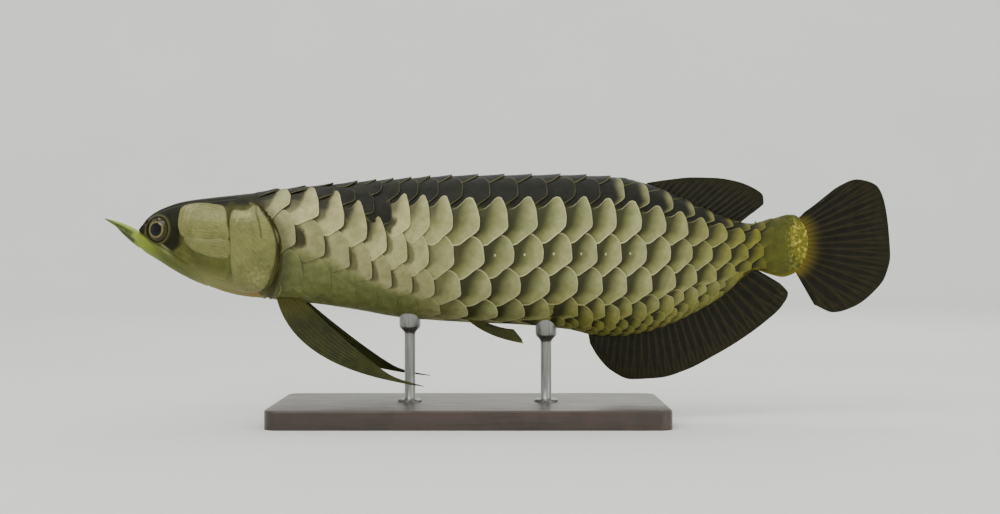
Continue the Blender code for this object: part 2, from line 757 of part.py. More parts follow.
def edge_curve(points):
    """The free edge of a fin as a function of the fraction across its rays."""
    alongs = smooth_curve([(u, along) for u, along, _ in points])
    ups = smooth_curve([(u, up) for u, _, up in points])
    return lambda u: Vector((alongs(u), 0, ups(u)))


def make_middle_fins():
    """The dorsal, anal and tail fins, each let into the body and parted from it by a gap."""
    dorsal_edge, anal_edge = edge_curve(DORSAL_EDGE), edge_curve(ANAL_EDGE)
    caudal_edge = edge_curve(CAUDAL_EDGE)
    caudal_root = smooth_path(CAUDAL_BASE)

    def dorsal_ray(u, v):
        along = DORSAL_BASE[0] + (DORSAL_BASE[1] - DORSAL_BASE[0]) * u
        root = Vector((along, 0, back_line(along) - FIN_ROOT_DEPTH))
        sway = 1.4 * v * math.sin(5 * u)
        return root.lerp(dorsal_edge(u), v) + Vector((0, sway, 0))

    def anal_ray(u, v):
        along = ANAL_BASE[0] + (ANAL_BASE[1] - ANAL_BASE[0]) * u
        root = Vector((along, 0, belly_line(along) + FIN_ROOT_DEPTH))
        sway = 2.4 * v * v * math.sin(7 * u + 0.6)
        return root.lerp(anal_edge(u), v) + Vector((0, sway, 0))

    def caudal_ray(u, v):
        along, up = caudal_root(u)
        root = Vector((along, 0, up))
        sway = 3.0 * v * v * math.sin(4 * u - 0.8)
        return root.lerp(caudal_edge(u), v) + Vector((0, sway, 0))

    for name, ray, build in (("dorsal_fin", dorsal_ray, DORSAL_BUILD),
                             ("anal_fin", anal_ray, ANAL_BUILD),
                             ("caudal_fin", caudal_ray, CAUDAL_BUILD)):
        fin = fin_object(name, ray, build)
        if name == "caudal_fin":
            cut = body_object("cut", TAIL_FIN_GAP, 440, BODY_LENGTH, HEAD_SPACING, HEAD_SIDES)
        else:
            cut = closed_scaled_body(GAP)
        combine(fin, "DIFFERENCE", [cut])
        finish(fin, FIN_LOOK)


def bent_ray(base, bend, tip, v):
    """A point along a ray that bends once."""
    first = base.lerp(bend, v)
    return first.lerp(bend.lerp(tip, v), v)


def make_paired_fins():
    """The pectoral and pelvic fins of both sides."""
    for kind, leading, trailing, build, look in (
            ("pectoral_fin", PECTORAL_LEADING, PECTORAL_TRAILING, PECTORAL_BUILD, PECTORAL_LOOK),
            ("pelvic_fin", PELVIC_LEADING, PELVIC_TRAILING, PELVIC_BUILD, FIN_LOOK)):
        for side, name in ((-1, kind + "_left"), (1, kind + "_right")):
            first, last = ([Vector((a, side * out, up)) for a, out, up in ray]
                           for ray in (leading, trailing))

            def ray_point(u, v):
                base, bend, tip = (one.lerp(other, u) for one, other in zip(first, last))
                return bent_ray(base, bend, tip, v)

            fin = fin_object(name, ray_point, build)
            combine(fin, "DIFFERENCE", [closed_scaled_body(GAP)])
            if kind == "pectoral_fin":
                combine(fin, "DIFFERENCE", [throat_cutter()])
            finish(fin, look)


def make_barbels():
    """The two flat, fleshy barbels at the tip of the lower jaw, the left one held higher."""
    radius_at = smooth_path([(radius,) for radius in BARBEL_RADII])
    lengths, sides = 7, 8
    back, over = BARBEL_TILT
    for name, points in BARBEL_PATHS.items():
        path = smooth_path(points)
        rings = []
        for i in range(lengths + 1):
            s = i / lengths
            middle = Vector(path(s))
            radius = radius_at(s)[0]
            rings.append([middle + Vector((back * math.sin(2 * math.pi * k / sides),
                                           BARBEL_FLATNESS * math.cos(2 * math.pi * k / sides),
                                           over * math.sin(2 * math.pi * k / sides))) * radius
                          for k in range(sides)])
        first, last = (sum(ring, Vector()) / sides for ring in (rings[0], rings[-1]))
        barbel = rings_object(name, rings, first, last)
        combine(barbel, "DIFFERENCE", [body_object("cut", GAP, 0, 60, HEAD_SPACING, HEAD_SIDES)])
        finish(barbel, BARBEL_LOOK)


def make_stand():
    """The flat base, and two rods with saddles that follow the belly."""
    corner = BASE_CORNER * MM
    half_length, half_breadth = BASE_LENGTH * MM / 2, BASE_WIDTH * MM / 2
    shaped = bmesh.new()
    ring = []
    for turn_x, turn_y, start in ((1, 1, 0), (-1, 1, 90), (-1, -1, 180), (1, -1, 270)):
        for i in range(6):
            angle = math.radians(start + 18 * i)
            ring.append(shaped.verts.new((turn_x * (half_length - corner) + corner * math.cos(angle),
                                          turn_y * (half_breadth - corner) + corner * math.sin(angle),
                                          0)))
    floor = shaped.faces.new(ring)
    raised = bmesh.ops.extrude_face_region(shaped, geom=[floor])["geom"]
    top_points = [item for item in raised if isinstance(item, bmesh.types.BMVert)]
    bmesh.ops.translate(shaped, verts=top_points, vec=(0, 0, BASE_THICKNESS * MM))
    bmesh.ops.recalc_face_normals(shaped, faces=shaped.faces)
    top_edges = [edge for edge in shaped.edges
                 if all(vertex.co.z > BASE_THICKNESS * MM / 2 for vertex in edge.verts)]
    bmesh.ops.bevel(shaped, geom=top_edges, offset=BASE_EDGE * MM, segments=2, profile=0.5,
                    affect="EDGES")
    mesh = bpy.data.meshes.new("stand_base")
    shaped.to_mesh(mesh)
    shaped.free()
    base = bpy.data.objects.new("stand_base", mesh)
    bpy.context.scene.collection.objects.link(base)
    finish(base, BASE_LOOK)

    sides = 16
    foot = BASE_THICKNESS - AXIS_HEIGHT + GAP
    for name, along in ROD_STATIONS.items():
        belly = belly_line(along)
        rings = []
        for radius, up in ((ROD_RADIUS, foot), (ROD_RADIUS, belly - SADDLE_THICKNESS - 3),
                           (SADDLE_RADIUS, belly - SADDLE_THICKNESS + 1.5),
                           (SADDLE_RADIUS, belly + 6)):
            rings.append([Vector((along + radius * math.cos(2 * math.pi * k / sides),
                                  radius * math.sin(2 * math.pi * k / sides), up))
                          for k in range(sides)])
        rod = rings_object(name, rings, Vector((along, 0, foot)), Vector((along, 0, belly + 6)))
        combine(rod, "DIFFERENCE", [closed_scaled_body(GAP)])
        finish(rod, ROD_LOOK)


# Each look is a colour, a roughness and a metallic value.
HEAD_LOOK = ((0.30, 0.27, 0.11), 0.40, 0.25)
JAW_LOOK = ((0.33, 0.32, 0.12), 0.42, 0.15)
GILL_LOOK = ((0.52, 0.47, 0.26), 0.30, 0.45)
BODY_LOOK = ((0.50, 0.46, 0.31), 0.32, 0.40)
FIN_LOOK = ((0.055, 0.042, 0.022), 0.50, 0.0)
PECTORAL_LOOK = ((0.16, 0.13, 0.045), 0.50, 0.0)
BARBEL_LOOK = ((0.42, 0.45, 0.10), 0.45, 0.0)
EYE_LOOK = ((0.012, 0.012, 0.010), 0.08, 0.0)
BASE_LOOK = ((0.030, 0.026, 0.023), 0.45, 0.0)
ROD_LOOK = ((0.55, 0.55, 0.54), 0.30, 1.0)


def finish(obj, look):
    """Gives the object its own material, and smooth shading between its sharp edges."""
    colour, roughness, metallic = look
    material = bpy.data.materials.new(obj.name)
    material.use_nodes = True
    shader = material.node_tree.nodes["Principled BSDF"]
    shader.inputs["Base Color"].default_value = (*colour, 1)
    shader.inputs["Roughness"].default_value = roughness
    shader.inputs["Metallic"].default_value = metallic
    obj.data.materials.clear()
    obj.data.materials.append(material)
    obj.data.shade_smooth()
    obj.data.set_sharp_from_angle(angle=math.radians(32))


clear_scene()
make_head()
make_gill_covers()
make_body()
make_middle_fins()
make_paired_fins()
make_barbels()
make_stand()
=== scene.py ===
"""An Asian arowana as a life-size still model on a plain display stand, dressed for its picture.

The head points to -X, the back to +Z and the left flank to -Y. Sizes are in millimetres until
place() turns them into metres. A point of the fish is given by along, its distance behind the
tip of the lower jaw, by out, its distance to the right of the middle, and by up, its height over
the long axis of the fish.
"""

import math

import bpy
import numpy as np
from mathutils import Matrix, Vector


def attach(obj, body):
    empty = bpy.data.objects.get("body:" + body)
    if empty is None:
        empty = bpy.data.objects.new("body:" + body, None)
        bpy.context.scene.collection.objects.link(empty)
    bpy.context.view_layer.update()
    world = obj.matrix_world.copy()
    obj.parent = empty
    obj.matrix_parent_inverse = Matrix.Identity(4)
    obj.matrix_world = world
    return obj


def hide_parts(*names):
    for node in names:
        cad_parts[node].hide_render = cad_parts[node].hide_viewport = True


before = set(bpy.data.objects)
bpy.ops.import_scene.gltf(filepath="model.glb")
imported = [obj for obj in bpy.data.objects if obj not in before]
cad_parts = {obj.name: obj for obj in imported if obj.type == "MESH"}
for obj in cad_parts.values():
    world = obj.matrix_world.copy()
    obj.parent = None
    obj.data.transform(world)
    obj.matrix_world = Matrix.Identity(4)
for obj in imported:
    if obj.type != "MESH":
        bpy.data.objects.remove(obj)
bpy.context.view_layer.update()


# The base of the stand is a flat board of dark stained hardwood, sawn to size, with its corners
# rounded and its upper edge eased, rubbed down and finished with a thin satin oil.

MM = 0.001
BASE_LENGTH, BASE_WIDTH, BASE_THICKNESS = 290.0, 130.0, 14.0
BASE_CORNER, BASE_EDGE = 10.0, 1.5
NOISE_SPAN = (0.3, 0.7)


def tint(red, green, blue):
    """A colour by its red, green and blue on a colour card of 0 to 255, as the shader wants it."""
    card = np.array((red, green, blue)) / 255
    light = np.where(card <= 0.04045, card / 12.92, ((card + 0.055) / 1.055) ** 2.4)
    return (*(float(part) for part in light), 1.0)


def start_surface(name, roughness, metallic=0.0, coat=0.0, coat_roughness=0.1, gloss=0.5):
    """A new finish with its gloss set, and its node tree to build the rest in."""
    material = bpy.data.materials.new(name)
    material.use_nodes = True
    shader = material.node_tree.nodes["Principled BSDF"]
    shader.inputs["Roughness"].default_value = roughness
    shader.inputs["Metallic"].default_value = metallic
    shader.inputs["Coat Weight"].default_value = coat
    shader.inputs["Coat Roughness"].default_value = coat_roughness
    shader.inputs["Specular IOR Level"].default_value = gloss
    return material, material.node_tree, shader.inputs


def node(tree, kind, inputs, **settings):
    """A node with its settings, its inputs given as values or as what feeds them."""
    made = tree.nodes.new("ShaderNode" + kind)
    for key, value in settings.items():
        setattr(made, key, value)
    for key, value in inputs.items():
        if isinstance(value, bpy.types.NodeSocket):
            tree.links.new(value, made.inputs[key])
        else:
            made.inputs[key].default_value = value
    return made


def blend(amount, first, second, how="MIX"):
    """Two colours mixed, each a socket or a colour of the card."""
    first, second = (tint(*one) if isinstance(one, tuple) else one for one in (first, second))
    tree = next(one.id_data for one in (amount, first) if isinstance(one, bpy.types.NodeSocket))
    mixed = node(tree, "Mix", {0: amount, 6: first, 7: second}, data_type="RGBA", blend_type=how)
    return mixed.outputs[2]


def mark(tree, name):
    """The value that each point carries under this name."""
    return node(tree, "Attribute", {}, attribute_name=name).outputs["Fac"]


def paint(colour, *coats):
    """A colour with coats over it, each given by its amount or its mark, and by its colour."""
    for amount, coat in coats:
        if isinstance(amount, str):
            amount = mark(colour.id_data, amount)
        colour = blend(amount, colour, coat)
    return colour


def spread(value, low, high, least=0.0, most=1.0):
    """A value between low and high, spread evenly from least to most."""
    inputs = {0: value, 1: low, 2: high, 3: least, 4: most}
    return node(value.id_data, "MapRange", inputs).outputs[0]


def vary(noise, least, most):
    """A value that follows the noise from least to most."""
    return spread(noise, *NOISE_SPAN, least, most)


def mottle(noise, first, second, low=NOISE_SPAN[0], high=NOISE_SPAN[1]):
    """Two colours in a cloudy mix."""
    return blend(spread(noise, low, high), first, second)


def grain(tree, size, stretch=(1, 1, 1), detail=3.0, roughness=0.55):
    """Cloudy variation over the piece, of about this size in millimetres."""
    spot = node(tree, "TexCoord", {}).outputs["Object"]
    spot = node(tree, "Mapping", {"Vector": spot, "Scale": stretch}).outputs[0]
    return node(tree, "TexNoise", {"Vector": spot, "Scale": 1 / (size * MM), "Detail": detail,
                                   "Roughness": roughness}).outputs[0]


def finish(shader, colour, roughness, *reliefs):
    """Gives the surface its colour, its roughness and its fine reliefs, the lowest one first.

    A relief is given by its height, by its depth in millimetres and by its strength, if not 1.
    """
    parts = {"Base Color": colour, "Roughness": roughness}
    for height, depth, *strength in reliefs:
        inputs = {"Height": height, "Distance": depth * MM, "Strength": (*strength, 1.0)[0]}
        if "Normal" in parts:
            inputs["Normal"] = parts["Normal"]
        parts["Normal"] = node(colour.id_data, "Bump", inputs).outputs[0]
    for name, part in parts.items():
        colour.id_data.links.new(part, shader[name])


def edit(**steps):
    """Takes these steps on the mesh of the newest piece, each with its settings."""
    bpy.ops.object.mode_set(mode="EDIT")
    for name, settings in steps.items():
        getattr(bpy.ops.mesh, name)(**settings)
    bpy.ops.object.mode_set(mode="OBJECT")


def round_edges(piece, radius, segments, chosen):
    """Rounds off the edges that chosen picks by the heights of their two ends."""
    edit(select_mode={"type": "EDGE"}, select_all={"action": "DESELECT"})
    for edge in piece.data.edges:
        edge.select = chosen(*(piece.data.vertices[i].co.z for i in edge.vertices))
    edit(bevel={"offset": radius * MM, "segments": segments, "affect": "EDGES"})


wood, tree, shader = start_surface("stained_wood", 0.42, coat=0.25, coat_roughness=0.25)
figure = grain(tree, 26, (0.12, 1, 1), 5, 0.6)
pores = grain(tree, 1.6, (0.05, 1, 1), 2, 0.5)
lines = node(tree, "TexWave", {"Vector": node(tree, "TexCoord", {}).outputs["Object"],
                               "Scale": 38.0, "Distortion": 9.0, "Detail": 3.0,
                               "Detail Scale": 1.1}, bands_direction="Y").outputs["Fac"]
colour = paint(mottle(figure, (38, 27, 22), (64, 46, 35)),
               (spread(lines, 0.2, 1.0, 0.0, 0.45), (30, 21, 17)),
               (spread(pores, 0.56, 0.7, 0.0, 0.6), (20, 14, 11)))
finish(shader, colour, vary(pores, 0.36, 0.52), (pores, 0.06))

bpy.ops.mesh.primitive_cube_add(size=1, location=(0, 0, BASE_THICKNESS * MM / 2))
base = bpy.context.object
base.name = base.data.name = "base_board"
base.scale = (BASE_LENGTH * MM, BASE_WIDTH * MM, BASE_THICKNESS * MM)
bpy.ops.object.transform_apply(location=True, rotation=True, scale=True)
round_edges(base, BASE_CORNER, 14, lambda z, other: abs(z - other) > BASE_THICKNESS * MM / 2)
round_edges(base, BASE_EDGE, 5, lambda z, other: min(z, other) > BASE_THICKNESS * MM * 0.99)
bpy.ops.object.shade_smooth_by_angle(angle=math.radians(35))
base.data.materials.append(wood)
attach(base, "root")
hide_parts("stand_base")


# Two turned rods of brushed stainless steel stand in the board, each in a thin flat collar. The
# head of each is flared into a small saddle that is cut to the curve of the belly above it.

JAW_TIP_X = -250.0
AXIS_HEIGHT = 127.5
BODY_LENGTH = 504.0
BACK_LINE = ((0, 15), (6.8, 22.2), (14.3, 28.1), (24.8, 33), (36, 36.4), (51, 38.6), (92, 43.1),
             (137, 48), (197, 52.9), (250, 55.5), (317, 55.9), (362, 54), (385, 48.8), (407, 40.1),
             (427, 30.8), (445, 23.3), (461, 19.9), (477, 23.6), (490, 26.6), (504, 24.5))
BELLY_LINE = ((0, 0.5), (6.8, -2.2), (16.5, -7.9), (31, -16.9), (47, -24.8), (66, -31.1),
              (85.5, -35.3), (110, -37.5), (137, -40.5), (166.5, -45), (197, -50.3), (238, -53.6),
              (289, -55.9), (323, -59.3), (346, -64.1), (362, -64.5), (378, -62.3), (400, -55.5),
              (431, -39.8), (445.5, -29.3), (456, -19.5), (463.5, -15), (474, -18), (484.5, -20.3),
              (494, -17.3), (504, -13))
HALF_WIDTH = ((0, 5), (3, 6.6), (6.8, 8.4), (14, 12.2), (25, 16.3), (40, 19.5), (60, 22.6),
              (85, 25.5), (110, 27), (140, 27.5), (200, 27), (260, 26), (320, 23.5), (370, 19),
              (410, 14), (445, 8.5), (463, 6.2), (480, 5.2), (493, 3.8), (504, 2.6))
NOSE_HEIGHT, NOSE_ROUNDING = 9.0, 9.0
TAIL_HEIGHT, TAIL_ROUNDING = 5.0, 12.0
WIDEST_AT = 0.54
BELLY_FULLNESS, BELLY_KEEL = 2.2, 0.64
ROD_STATIONS = {"stand_rod_front": 205.0, "stand_rod_rear": 307.0}
ROD_RADIUS, COLLAR_RADIUS, SADDLE_RADIUS = 4.0, 9.0, 8.0
WELD_REACH = 2e-6


def place(points):
    """Points given as along, out and up in millimetres, in metres in the frame."""
    return (np.asarray(points, float) + (JAW_TIP_X, 0, AXIS_HEIGHT)) * MM


def smooth_curve(points):
    """A smooth function through the points that doesn't overshoot between them."""
    xs, ys = np.array(points, float).T
    slopes = np.diff(ys) / np.diff(xs)
    tangents = np.zeros(len(xs))
    tangents[0], tangents[-1] = slopes[0], slopes[-1]
    before, after = slopes[:-1], slopes[1:]
    both = before * after
    tangents[1:-1] = np.divide(2 * both, before + after, out=np.zeros(len(both)), where=both > 0)

    def value(x):
        x = np.clip(x, xs[0], xs[-1])
        i = np.minimum(np.searchsorted(xs, x, side="right") - 1, len(xs) - 2)
        width = xs[i + 1] - xs[i]
        s = (x - xs[i]) / width
        first = ys[i] * (1 + 2 * s) * (1 - s) ** 2 + tangents[i] * width * s * (1 - s) ** 2
        second = ys[i + 1] * s * s * (3 - 2 * s) + tangents[i + 1] * width * s * s * (s - 1)
        return first + second

    return value


back_line = smooth_curve(BACK_LINE)
belly_line = smooth_curve(BELLY_LINE)
half_width = smooth_curve(HALF_WIDTH)


def outline(along):
    """The heights of back and belly and the half-width, with both ends rounded off."""
    opened = 1.0
    for distance, length in ((along, NOSE_ROUNDING), (BODY_LENGTH - along, TAIL_ROUNDING)):
        left = np.clip(1 - distance / length, 0, 1)
        opened = opened * np.sqrt(1 - left * left)
    middle = np.where(along < BODY_LENGTH / 2, NOSE_HEIGHT, TAIL_HEIGHT)
    top = middle + (back_line(along) - middle) * opened
    bottom = middle + (belly_line(along) - middle) * opened
    return top, bottom, half_width(along) * opened


def belly_height(along, out):
    """The height of the underside of the body at this distance from its middle."""
    top, bottom, width = outline(along)
    widest = bottom + WIDEST_AT * (top - bottom)
    inside = np.clip(np.abs(out) / width, 0, 1) ** (1 / BELLY_KEEL)
    return widest + (1 - inside) ** (1 / BELLY_FULLNESS) * (bottom - widest)


def values_of(items, key, size=1, kind=float):
    """The values that the items of a mesh hold under this key, a row for each of their parts."""
    values = np.empty(len(items) * size, kind)
    items.foreach_get(key, values)
    return values.reshape(-1, size).T if size > 1 else values


def keep_marks(mesh, marks):
    """Keeps a value for each point of the mesh under each name that its finish is to read."""
    for key, values in marks.items():
        mesh.attributes.new(key, "FLOAT", "POINT").data.foreach_set(
            "value", np.broadcast_to(values, len(mesh.vertices)).astype(np.float32))


def shaped_grid(name, steps, shape, in_frame=place):
    """A fine grid, each of its points moved to where shape puts it, closed where edges meet.

    shape takes the fractions along the two sides of the grid and gives the points, and a value
    for each point under each name that the finish is to read.
    """
    bpy.ops.mesh.primitive_grid_add(x_subdivisions=steps[0], y_subdivisions=steps[1], size=1)
    piece = bpy.context.object
    piece.name = piece.data.name = name
    mesh = piece.data
    mesh.uv_layers[0].name = "OFBake"
    s, t, _ = values_of(mesh.vertices, "co", 3) + 0.5
    points, marks = shape(s, t)
    mesh.vertices.foreach_set("co", in_frame(points).ravel())
    keep_marks(mesh, marks)
    mesh.update()
    edit(select_all={"action": "SELECT"}, remove_doubles={"threshold": WELD_REACH},
         normals_make_consistent={"inside": False})
    bpy.ops.object.shade_smooth()
    return piece


def fit(piece, material, slot, *nodes):
    """Gives the piece its finish and fixes it to the model in place of these solids."""
    piece.data.materials.clear()
    piece.data.materials.append(material)
    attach(piece, "root")
    if nodes:
        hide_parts(*nodes)


steel, tree, shader = start_surface("brushed_steel", 0.3, metallic=1.0)
strokes = grain(tree, 1.2, (1, 1, 0.06), 4, 0.6)
finish(shader, mottle(strokes, (118, 118, 116), (150, 150, 147)),
       vary(strokes, 0.24, 0.4), (strokes, 0.02))

foot = BASE_THICKNESS - AXIS_HEIGHT
for name, station in ROD_STATIONS.items():
    neck = float(belly_line(station)) - 9.0
    profile = np.array([(0, foot), (COLLAR_RADIUS, foot), (COLLAR_RADIUS, foot + 1.4),
                        (COLLAR_RADIUS - 0.6, foot + 2.0), (ROD_RADIUS + 0.5, foot + 2.0),
                        (ROD_RADIUS, foot + 2.6), (ROD_RADIUS, foot + 20), (ROD_RADIUS, neck - 3),
                        (ROD_RADIUS + 0.3, neck - 1.5), (ROD_RADIUS + 1.4, neck),
                        (SADDLE_RADIUS - 0.8, neck + 1.8), (SADDLE_RADIUS - 0.1, neck + 3.0),
                        (SADDLE_RADIUS, neck + 4.2)])

    def rod_shape(s, t):
        spot = s * (len(profile) + 3)
        radius, up = (np.interp(spot, np.arange(len(profile)), column) for column in profile.T)
        angle = 2 * math.pi * (t % 1)
        inward = np.clip(spot - len(profile), 0, 3) / 3
        radius = np.where(spot > len(profile) - 0.5, (SADDLE_RADIUS - 0.4) * (1 - inward), radius)
        along, out = station + radius * np.cos(angle), radius * np.sin(angle)
        rim = belly_height(along, out) + 1.3
        up = np.where(spot > len(profile) - 0.5, rim - 2.5 * (inward > 0), up)
        up = np.where(np.abs(spot - len(profile) + 1) < 0.4, rim - 0.4, up)
        return np.column_stack([along, out, up]), {}

    rod = shaped_grid(name.replace("stand_", ""), (len(profile) + 3, 56), rod_shape)
    bpy.ops.object.shade_smooth_by_angle(angle=math.radians(40))
    fit(rod, steel, "stand_metal", name)


# The body is one seamless cast skin over the whole fish, from the tip of the jaw to the root of
# the tail. The mouth, lips, nostrils, eye sockets and gill slits are cut and raised in it, and
# it is tinted olive on the head, dark on the back, pale on the belly and gold at the tail.
# Painted shade darkens the eye sockets and the gill slits, and a painted glint lies on the lip.

MOUTH_LINE = ((0.4, 14.6), (10.5, 8.6), (20.3, 3.0), (30.0, -3.6), (44.3, -12.6))
GILL_LINE = ((80, 56), (88.5, 39.8), (98.3, 28.5), (107, 16.5), (110.6, 3.8), (110.3, -9),
             (107.3, -21), (101.3, -31.5), (93, -44))
PREOPERCLE_RIDGE = ((74, -8), (72.8, -16), (67.6, -21.5), (59, -20.5))
BROW_CANAL = ((10, 23.5), (20, 28.8), (34, 33.4), (52, 35.8), (76, 38.2))
THROAT_EDGE = ((50, -21), (62, -26.5), (76, -31), (92, -32.5), (101, -27))
EYE_PLACE = (18.75, 15.0)
EYE_RADIUS, EYE_HALF_DEPTH, EYE_SUNK = 10.2, 6.5, 4.2
NOSTRILS = ((5.6, 16.4, 0.75), (10.2, 20.4, 1.0))
JAW_PORES = ((9, 3.4), (16.5, -1.4), (24.5, -6.6), (32.5, -12), (41, -17.5))
SNOUT_END, HEAD_END, TAIL_ROOT = 30, 118, 490
BACK_FULLNESS = 2.7
SNOUT_SPACING, HEAD_SPACING, BODY_SPACING = 0.45, 0.75, 2.4
END_STATIONS, LEVELS, GIRTH_POINTS, HALVINGS = 42, 241, 161, 22


def girth_table():
    """The skin and the way it faces, at close stations and at equal steps round each of them."""
    ends = 1 - np.cos(np.linspace(0, math.pi / 2, END_STATIONS))
    stations = np.concatenate([NOSE_ROUNDING * ends,
                               np.arange(NOSE_ROUNDING + 1, BODY_LENGTH - TAIL_ROUNDING, 1.0),
                               BODY_LENGTH - TAIL_ROUNDING * ends[::-1]])
    level = np.cos(np.linspace(0, math.pi, LEVELS))
    over = level >= 0
    height = np.abs(level)
    shares = np.linspace(0, 1, GIRTH_POINTS)
    skin = np.zeros((len(stations), len(shares), 3))
    for row, (along, top, bottom, width) in zip(skin, zip(stations, *outline(stations))):
        widest = bottom + WIDEST_AT * (top - bottom)
        ups = widest + np.where(over, height * (top - widest), height * (bottom - widest))
        outs = width * np.where(over, (1 - height**BACK_FULLNESS) ** 0.5,
                                (1 - height**BELLY_FULLNESS) ** BELLY_KEEL)
        lengths = np.concatenate([[0], np.cumsum(np.hypot(np.diff(outs), np.diff(ups)))])
        reached = lengths / max(lengths[-1], 1e-9)
        row[:, 0] = along
        row[:, 1] = np.interp(shares, reached, outs)
        row[:, 2] = np.interp(shares, reached, ups)
    left = skin[:, :0:-1] * (1, -1, 1)
    skin = np.concatenate([left, skin], axis=1)
    round_it = np.roll(skin[:, :-1], -1, axis=1) - np.roll(skin[:, :-1], 1, axis=1)
    round_it = np.concatenate([round_it, round_it[:, :1]], axis=1)
    forward = np.gradient(skin, axis=0)
    facing = np.cross(forward, round_it)
    facing[0], facing[-1] = (-1, 0, 0), (1, 0, 0)
    facing /= np.maximum(np.linalg.norm(facing, axis=2, keepdims=True), 1e-12)
    return stations, skin, facing


table_stations, skin_table, facing_table = girth_table()


def read_table(table, along, turn):
    """A girth table read between its stations and steps."""
    i = np.clip(np.searchsorted(table_stations, along, side="right") - 1, 0,
                len(table_stations) - 2)
    s = ((along - table_stations[i]) / (table_stations[i + 1] - table_stations[i]))[:, None]
    spot = ((turn + 1) / 2 % 1) * (table.shape[1] - 1)
    k = np.minimum(spot.astype(int), table.shape[1] - 2)
    t = (spot - k)[:, None]
    near = table[i, k] * (1 - t) + table[i, k + 1] * t
    far = table[i + 1, k] * (1 - t) + table[i + 1, k + 1] * t
    return near * (1 - s) + far * s


def lay(along, turn, height):
    """A point at this height over the skin. turn is 0 on the back and 1 or -1 on the belly."""
    along, turn, height = np.broadcast_arrays(*(np.asarray(v, float)
                                                for v in (along, turn, height)))
    along = np.clip(along, 0, BODY_LENGTH)
    facing = read_table(facing_table, along, turn)
    facing /= np.maximum(np.linalg.norm(facing, axis=1, keepdims=True), 1e-12)
    return read_table(skin_table, along, turn) + facing * height[:, None]


def turn_at(along, up):
    """How far round from the back the flank reaches this height."""
    low, high = np.zeros(np.shape(along)), np.ones(np.shape(along))
    for _ in range(HALVINGS):
        middle = (low + high) / 2
        above = read_table(skin_table, along, middle)[:, 2] > up
        low, high = np.where(above, middle, low), np.where(above, high, middle)
    return (low + high) / 2


def step(value, low, high):
    """0 below low, 1 above high and smooth between them."""
    s = np.clip((value - low) / (high - low), 0, 1)
    return s * s * (3 - 2 * s)


def fade(value, low, high):
    """1 below low, 0 above high and smooth between them."""
    return 1 - step(value, low, high)


def hump(distance, width):
    """1 at no distance, falling away smoothly over about this width."""
    return np.exp(-((distance / width) ** 2))


def smooth_path(points, count):
    """A path through the points, cut into this many lengths."""
    points = np.array(points, float)
    knots = np.linspace(0, 1, len(points))
    s = np.linspace(0, 1, count + 1)
    return np.column_stack([smooth_curve(np.column_stack([knots, column]))(s)
                            for column in points.T])


def side_distance(along, up, points, count=30):
    """The distance in the side view to a path, positive over it, and how far along it that is."""
    path = smooth_path(points, count)
    best = np.full(along.shape, 1e9)
    share = np.zeros(along.shape)
    for i, (start, end) in enumerate(zip(path[:-1], path[1:])):
        run = end - start
        across, rise = along - start[0], up - start[1]
        s = np.clip((across * run[0] + rise * run[1]) / (run @ run), 0, 1)
        distance = np.hypot(across - run[0] * s, rise - run[1] * s)
        signed = np.where(run[0] * rise - run[1] * across >= 0, distance, -distance)
        nearer = distance < np.abs(best)
        best = np.where(nearer, signed, best)
        share = np.where(nearer, (i + s) / count, share)
    return best, share


def eye_frame(side):
    """The middle of the eye and the three directions it is set by."""
    along, up = (np.array([value]) for value in EYE_PLACE)
    turn = side * turn_at(along, up)
    surface = lay(along, turn, 0)[0]
    outward = lay(along, turn, 1)[0] - surface
    outward /= np.linalg.norm(outward)
    upward = np.array((0, 0, 1)) - outward * outward[2]
    upward /= np.linalg.norm(upward)
    return surface - outward * EYE_SUNK, outward, upward, np.cross(outward, upward)


def root_specks(along, up):
    """Where bright gold specks lie thick, at the root of the tail fin."""
    return step(along, 482, 497) * hump((up - 9) / 20, 1.0)


skin_stations = np.concatenate([NOSE_ROUNDING * (1 - np.cos(np.linspace(0, math.pi / 2, 26))),
                                np.arange(NOSE_ROUNDING + SNOUT_SPACING, SNOUT_END, SNOUT_SPACING),
                                np.arange(SNOUT_END, HEAD_END, HEAD_SPACING),
                                np.arange(HEAD_END, TAIL_ROOT, BODY_SPACING),
                                np.linspace(TAIL_ROOT, BODY_LENGTH, 14)])


